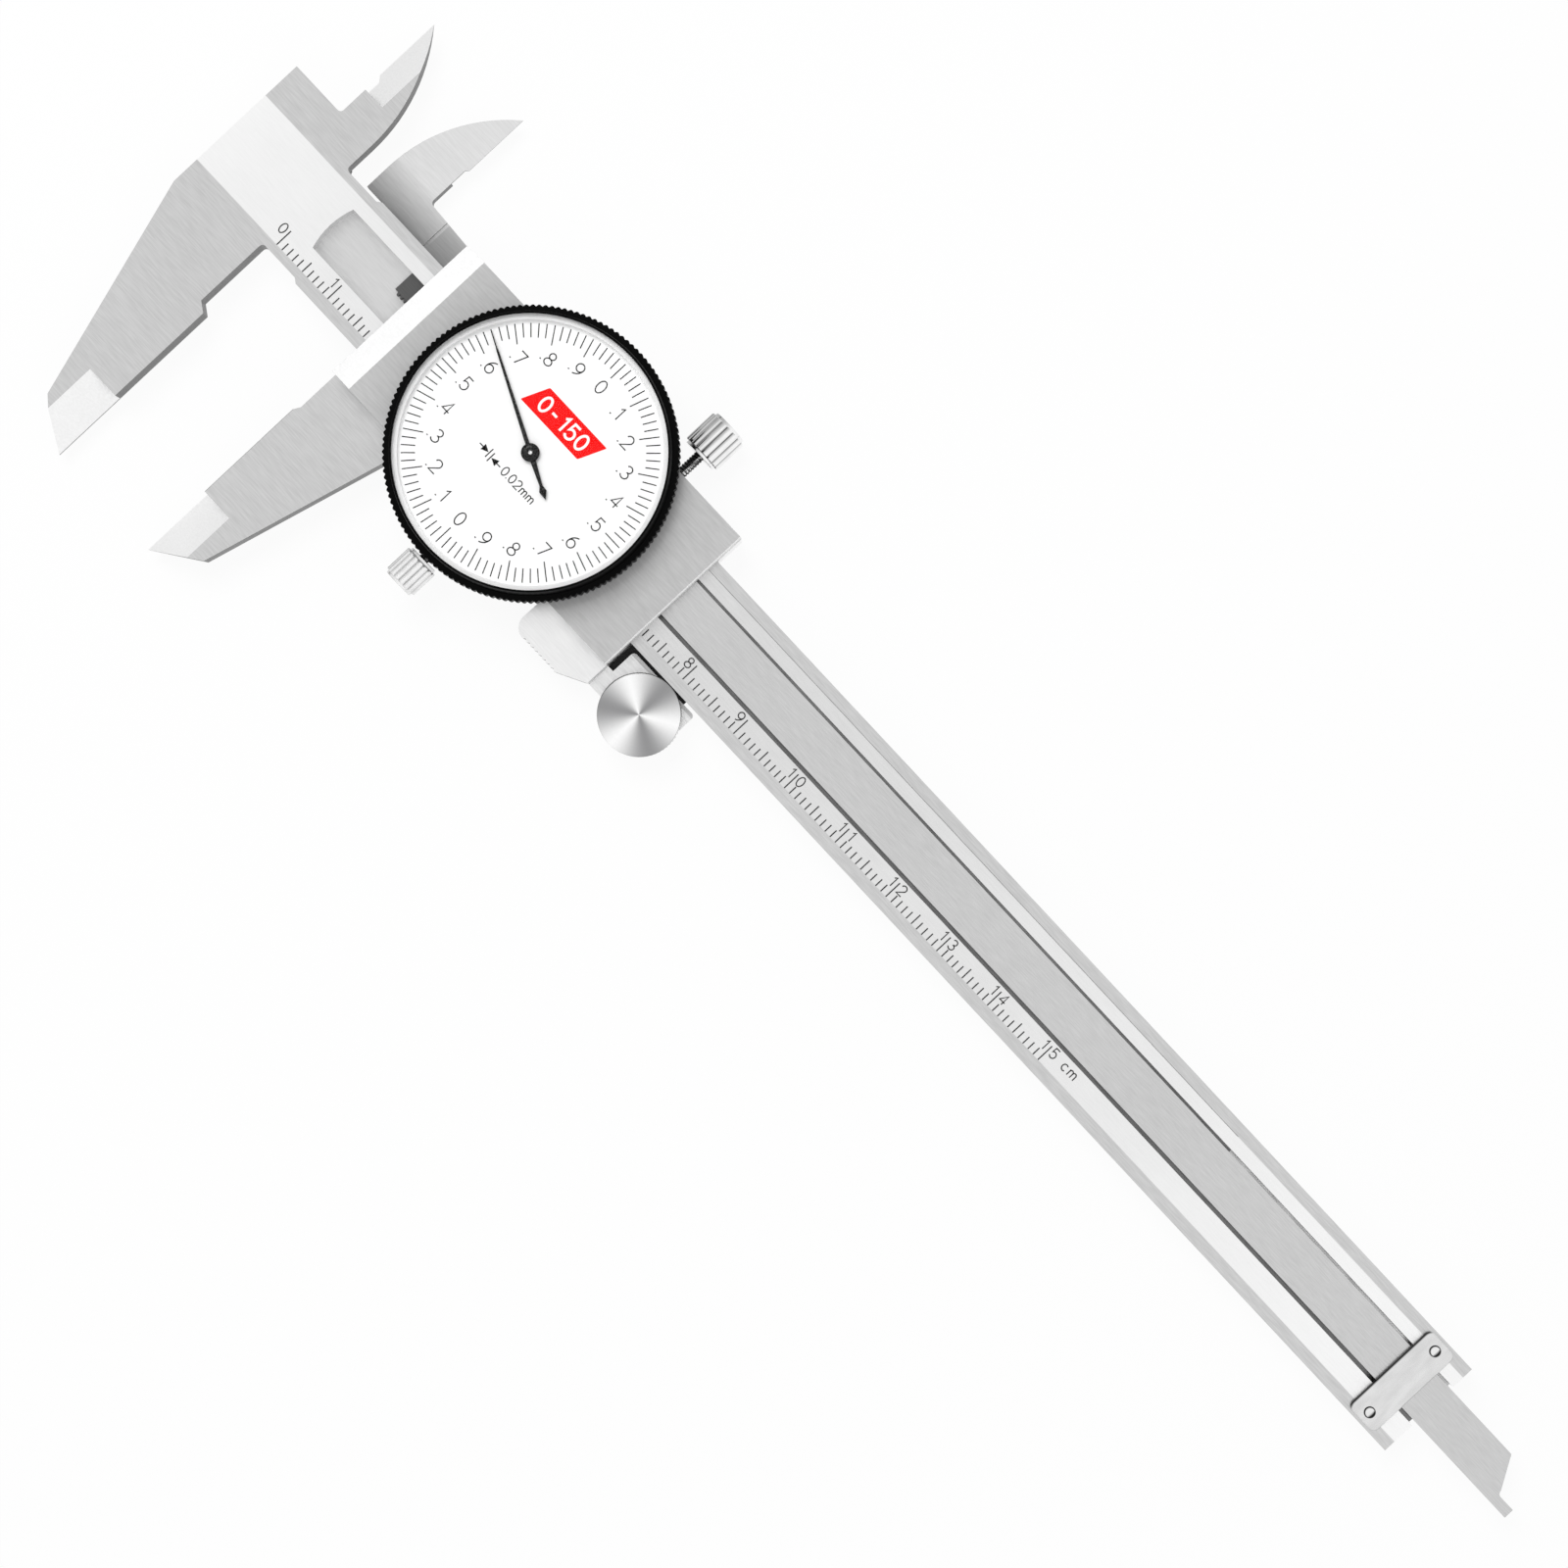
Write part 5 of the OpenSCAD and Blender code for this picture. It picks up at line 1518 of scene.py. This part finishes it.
    def _crystal(self) -> Piece:
        """Pane with a flat underside and a crown that falls with the square of the radius.

        Returns:
            The pane.
        """
        radius = np.linspace(self.crystal_eye, self.crystal_r, 24)
        crown = self.crystal_top - self.crystal_crown * (radius / self.crystal_r) ** 2
        under = np.stack([radius, np.full_like(radius, self.crystal_back)], axis=-1)
        over = np.stack([radius, crown], axis=-1)[::-1]
        profile = np.vstack([under, [(self.rim_r, z) for z in self.rim_z], over])
        return skinned("dial_crystal", self._moved(turned(profile, turn_angles(120))))

    def _pointer(self) -> Piece:
        """Flat needle: a long taper, a round boss and a spade tail, turned to the reading.

        Returns:
            The needle.
        """
        boss_top, boss_foot = 76.0, -72.0
        right = np.radians(np.linspace(boss_top, boss_foot, 12))
        tail = [(0.2, -4.6), (0.5, -5.4), (0.0, -6.6), (-0.5, -5.4), (-0.2, -4.6)]
        side = self.boss_r * np.stack([np.cos(right), np.sin(right)], axis=-1)
        other = side[::-1] * np.array([-1.0, 1.0])
        blade = np.array([(0.06, 17.0), (0.1, 14.6), (0.15, 14.2)])
        outline = np.vstack([blade, side, tail, other, blade[::-1] * np.array([-1.0, 1.0])])
        a = math.radians(-self.pointer_deg)
        turn = np.array([[math.cos(a), math.sin(a)], [-math.sin(a), math.cos(a)]])
        return Patchwork().slab(self._moved(outline @ turn), *self.pointer_z).build("dial_pointer")

    def _hub(self) -> Piece:
        """Domed collar over the arbor's end, a closed profile carried round the axis.

        Returns:
            The collar.
        """
        corners = [(0.52, 10.1), (0.62, 10.1), (0.62, 10.4), (1.25, 10.4), (1.25, 10.56), (0.95, 10.8),
                   (0.6, 10.87), (0.28, 10.87), (0.28, 10.82), (0.52, 10.82)]
        profile = rounded_profile(corners, 0.12, 4)
        shape = self._moved(turned(profile, turn_angles(64)))
        return skinned("pointer_collar", shape, ring=True, smooth_deg=50.0)


@dataclass
class FlutedScrew:
    """Screw with a threaded shank and a chamfered, fluted head, turned about its own axis.

    Attributes:
        node: CAD node that it replaces.
        axis: the way it points, from shank to head.
        root: start of the shank, in sketch millimetres.
        shank_r: radius of the thread's crest.
        finish: name of its finish.
        collar: radius of the head's plain ends, as a share of its radius.
        collar_l: length of a plain end.
        chamfer: length of the head's chamfers with the plain ends.
        broken: width of the broken edge at each end.
        pitch: rise of the thread in one turn.
    """

    shelf: FinishShelf
    name: str
    body: Body
    node: str
    axis: Axis
    root: Triple
    shank: float
    shank_r: float
    head: float
    head_r: float
    finish: str
    flutes: int = 16
    flute_depth: float = 0.26
    collar: float = 0.86
    collar_l: float = 0.39
    chamfer: float = 0.52
    broken: float = 0.05
    pitch: float = 0.45
    thread_depth: float = 0.14

    def build(self) -> None:
        """Build the shank and the head as one piece."""
        skin = Patchwork()
        for shape in (self._thread(), self._head()):
            skin.grid(shape @ self.axis.matrix() + np.array(self.root), caps=True)
        self.shelf.settle(skin.build(self.name, 38.0), self.body, "chrome_screw", self.finish, self.node)

    def _thread(self) -> Array:
        """Thread: the radius falls with a triangle wave of the height less the turn, in pitches.

        Returns:
            Grid of points in the screw's own frame.
        """
        height = np.linspace(0.0, self.shank + 0.1, int(self.shank / self.pitch * 8))
        angles = turn_angles(32)
        phase = (height[:, None] / self.pitch - angles[None, :] / (2 * np.pi)) % 1.0
        profile = np.stack([np.full_like(height, self.shank_r), height], axis=-1)
        return turned(profile, angles, -self.thread_depth * np.abs(2.0 * phase - 1.0))

    def _head(self) -> Array:
        """Head: a fluted barrel between two narrower plain collars.

        On the barrel the radius falls in round flutes and its ends are chamfered; a collar keeps
        a share of the head's radius.

        Returns:
            Grid of points in the screw's own frame.
        """
        hair = 0.01
        steps = np.array([0.0, self.broken, self.collar_l - hair, self.collar_l + hair, self.chamfer])
        height = np.concatenate([steps, np.linspace(1.0, self.head - 1.0, 4), self.head - steps[::-1]])
        edge = np.minimum(height, self.head - height)
        collar = self.head_r * self.collar - np.maximum(self.broken - edge, 0.0)
        angles = turn_angles(self.flutes * 10)
        fluted = self.head_r - self.flute_depth * (1.0 - np.abs(np.sin(self.flutes * angles / 2))) ** 1.5
        barrel = fluted[None] - np.maximum(self.chamfer - edge, 0.0)[:, None]
        radius = np.where((edge < self.collar_l)[:, None], collar[:, None], barrel)
        base = np.stack([np.zeros_like(height), height + self.shank], axis=-1)
        return turned(base, angles, radius)


@dataclass
class ThumbRoller:
    """Knurled wheel under the thumb with a spun cap."""

    shelf: FinishShelf
    centre: Pair = ROLLER_CENTRE
    teeth: int = 60
    knurl: float = 0.16
    knurl_from: float = 5.3
    knurl_fade: float = 0.2
    wheel_r: float = 5.68
    bore_r: float = 1.05
    wheel_z: Pair = (0.15, 3.15)
    clip_room: float = 0.3
    clip_gap: float = 0.05
    cap_r: float = 5.42
    cap_top: float = 3.95
    cap_dish: float = 0.05

    def build(self) -> None:
        """Build the wheel and its cap."""
        settle = self.shelf.settle
        settle(self._wheel(), Body.ROLLER, "roller_steel", "roller_steel", "thumb_roller")
        settle(self._cap(), Body.ROLLER, "polished_cap", "polished_cap", "roller_cap")

    def _wheel(self) -> Piece:
        """Bored wheel: a closed profile carried round, its rim lowered between round teeth.

        Returns:
            The wheel.
        """
        clip_low, clip_high = DATUM.box("roller_clip")
        recess = (clip_high[0] - clip_low[0]) / 2 + self.clip_room
        floor = clip_low[2] - self.clip_gap
        back, front = self.wheel_z
        corners = [(self.bore_r, back), (self.wheel_r, back), (self.wheel_r, front), (recess, front),
                   (recess, floor), (self.bore_r, floor)]
        profile = rounded_profile(corners, 0.2)
        angles = turn_angles(self.teeth * 10)
        tooth = np.abs(np.sin(self.teeth * angles / 2)) - 1.0
        outer = np.clip((profile[:, 0] - self.knurl_from) / self.knurl_fade, 0.0, 1.0)
        shape = turned(profile, angles, self.knurl * outer[:, None] * tooth[None, :])
        return skinned("roller_wheel", shape + np.array([*self.centre, 0.0]), ring=True)

    def _cap(self) -> Piece:
        """Low cap: a rounded edge and a face dished by a hair, carried round the axis.

        Returns:
            The cap.
        """
        face = np.linspace(self.cap_r, 0.15, 18)
        top = np.stack([face, self.cap_top - self.cap_dish * (1 - (face / self.cap_r) ** 2)], axis=-1)
        edge = np.array([(0.15, 3.15), (5.6, 3.15), (5.69, 3.2), (5.7, 3.6), (5.66, 3.78), (5.56, 3.89)])
        shape = turned(np.vstack([edge, top]), turn_angles(160))
        return skinned("roller_disc", shape + np.array([*self.centre, 0.0]))


@dataclass
class Studio:
    """Pale floor, even soft light and the camera of the photograph.

    Attributes:
        foot: X and Y under the camera, in sketch millimetres.
        height: camera height above the rule face in millimetres.
        view_width: width of the picture at the rule face in millimetres.
        turn_deg: turn of the picture about the upright axis.
        sensor: width of the camera's sensor in millimetres.
        floor_half: half the floor's width in metres.
        floor_tone: brightness of the floor as light falls on it.
        floor_glow: share of plain white that seen rays find on the floor.
        ambient: strength of the world's light.
        horizon: heights between which the mirrored world pales.
        mirror_sides: brightness of the mirrored horizon on the left and on the right.
    """

    foot: Pair = (99.6, -5.9)
    height: float = 430.0
    view_width: float = 210.9
    turn_deg: float = 46.96
    sensor: float = 36.0
    floor_half: float = 3.0
    floor_tone: float = 0.86
    floor_glow: float = 0.93
    ambient: float = 0.5
    horizon: Pair = (-0.02, 0.2)
    mirror_sides: Pair = (0.08, 0.7)

    def build(self) -> None:
        """Set the view, the camera, the floor, the world and the lamps."""
        bpy.context.scene.view_settings.view_transform = "Standard"
        self._camera()
        self._floor()
        self._world()
        self._lamp("key", spot=(-0.36, 0.10, 0.60), size=0.35, power=2.7)
        self._lamp("fill", spot=(0.35, -0.30, 0.55), size=0.6, power=0.9)

    def _camera(self) -> None:
        """Camera that looks straight down."""
        data = bpy.data.cameras.new("view")
        data.sensor_width = self.sensor
        data.lens = self.sensor * self.height / self.view_width
        data.clip_start = 0.01
        camera = bpy.data.objects.new("view", data)
        camera.location = DATUM.place(np.array([*self.foot, RULE_FACE + self.height]))
        camera.rotation_euler = (0.0, 0.0, math.radians(self.turn_deg))
        bpy.context.scene.collection.objects.link(camera)
        bpy.context.scene.camera = camera

    def _floor(self) -> None:
        """Pale floor, white to the eye, that keeps a soft shadow."""
        half = self.floor_half
        corners = [(-half, -half, 0), (half, -half, 0), (half, half, 0), (-half, half, 0)]
        mesh = bpy.data.meshes.new("floor")
        mesh.from_pydata(corners, [], [(0, 1, 2, 3)])
        floor = bpy.data.objects.new("floor", mesh)
        bpy.context.scene.collection.objects.link(floor)
        material = bpy.data.materials.new("pale_floor")
        material.use_nodes = True
        bench = Bench(material.node_tree)
        path = bench.add("ShaderNodeLightPath").outputs
        seen = bench.most(path["Is Camera Ray"], path["Is Glossy Ray"], path["Is Transmission Ray"])
        matt = bench.add("ShaderNodeBsdfDiffuse", {"Color": (*(self.floor_tone,) * 3, 1.0)})
        white = bench.add("ShaderNodeEmission", {"Color": WHITE, "Strength": 1.0})
        shown = bench.mix(bench.times(seen, self.floor_glow), matt, white)
        bench.add("ShaderNodeOutputMaterial", {"Surface": shown})
        mesh.materials.append(material)

    def _world(self) -> None:
        """White world to the eye; what metal mirrors pales from the horizon up, most on the right."""
        world = bpy.data.worlds.new("studio")
        world.use_nodes = True
        bpy.context.scene.world = world
        bench = Bench(world.node_tree)
        path = bench.add("ShaderNodeLightPath").outputs
        x, _, z = bench.parts(bench.add("ShaderNodeTexCoord").outputs["Generated"])
        rise = bench.ramp(z, *self.horizon)
        low = bench.ramp(x, -1.0, 1.0, *self.mirror_sides)
        mirrored = bench.math("ADD", low, bench.times(rise, bench.minus(1.0, low)))
        shares = {"Factor": path["Is Glossy Ray"], "A": self.ambient, "B": mirrored}
        strength = bench.add("ShaderNodeMix", shares)
        soft = bench.add("ShaderNodeBackground", {"Color": WHITE, "Strength": strength.outputs[0]})
        white = bench.add("ShaderNodeBackground", {"Color": WHITE, "Strength": 1.0})
        clear = bench.most(path["Is Camera Ray"], path["Is Transmission Ray"])
        bench.add("ShaderNodeOutputWorld", {"Surface": bench.mix(clear, soft, white)})

    @staticmethod
    def _lamp(name: str, spot: Triple, size: float, power: float) -> None:
        """Square soft lamp that points at the middle of the part.

        Args:
            name: name of the lamp.
            spot: its place in metres.
            size: its width in metres.
            power: its power in watts.
        """
        data = bpy.data.lights.new(name, "AREA")
        data.size = size
        data.energy = power
        lamp = bpy.data.objects.new(name, data)
        lamp.location = spot
        away = np.array(spot)
        tilt = math.acos(away[2] / np.linalg.norm(away))
        lamp.rotation_euler = (tilt, 0.0, math.atan2(away[1], away[0]) + math.pi / 2)
        lamp.visible_glossy = False
        bpy.context.scene.collection.objects.link(lamp)


def main() -> None:
    """Build the caliper's pieces in order and report each one."""
    logging.basicConfig(level=logging.INFO, format="%(name)s: %(message)s")
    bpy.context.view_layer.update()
    Studio().build()
    shelf = FinishShelf(Effects())
    shelf.stock()
    shelf.dress_nodes()
    Beam(shelf).build()
    Slider(shelf).build()
    Dial(shelf).build()
    FlutedScrew(shelf, "lock_knob", Body.LOCK, "lock_screw", Axis.TOWARDS_BACK_EDGE,
                (LOCK_AXIS[0], 9.35, LOCK_AXIS[1]), shank=6.6, shank_r=0.825, head=5.75,
                head_r=LOCK_HEAD_R, finish="lock_chrome").build()
    FlutedScrew(shelf, "clamp_knob", Body.CLAMP, "clamp_screw", Axis.TOWARDS_FRONT_EDGE,
                (CLAMP_AXIS[0], -12.45, CLAMP_AXIS[1]), shank=8.15, shank_r=0.8, head=4.8,
                head_r=CLAMP_HEAD_R, finish="clamp_chrome").build()
    ThumbRoller(shelf).build()


if __name__ == "__main__":
    main()
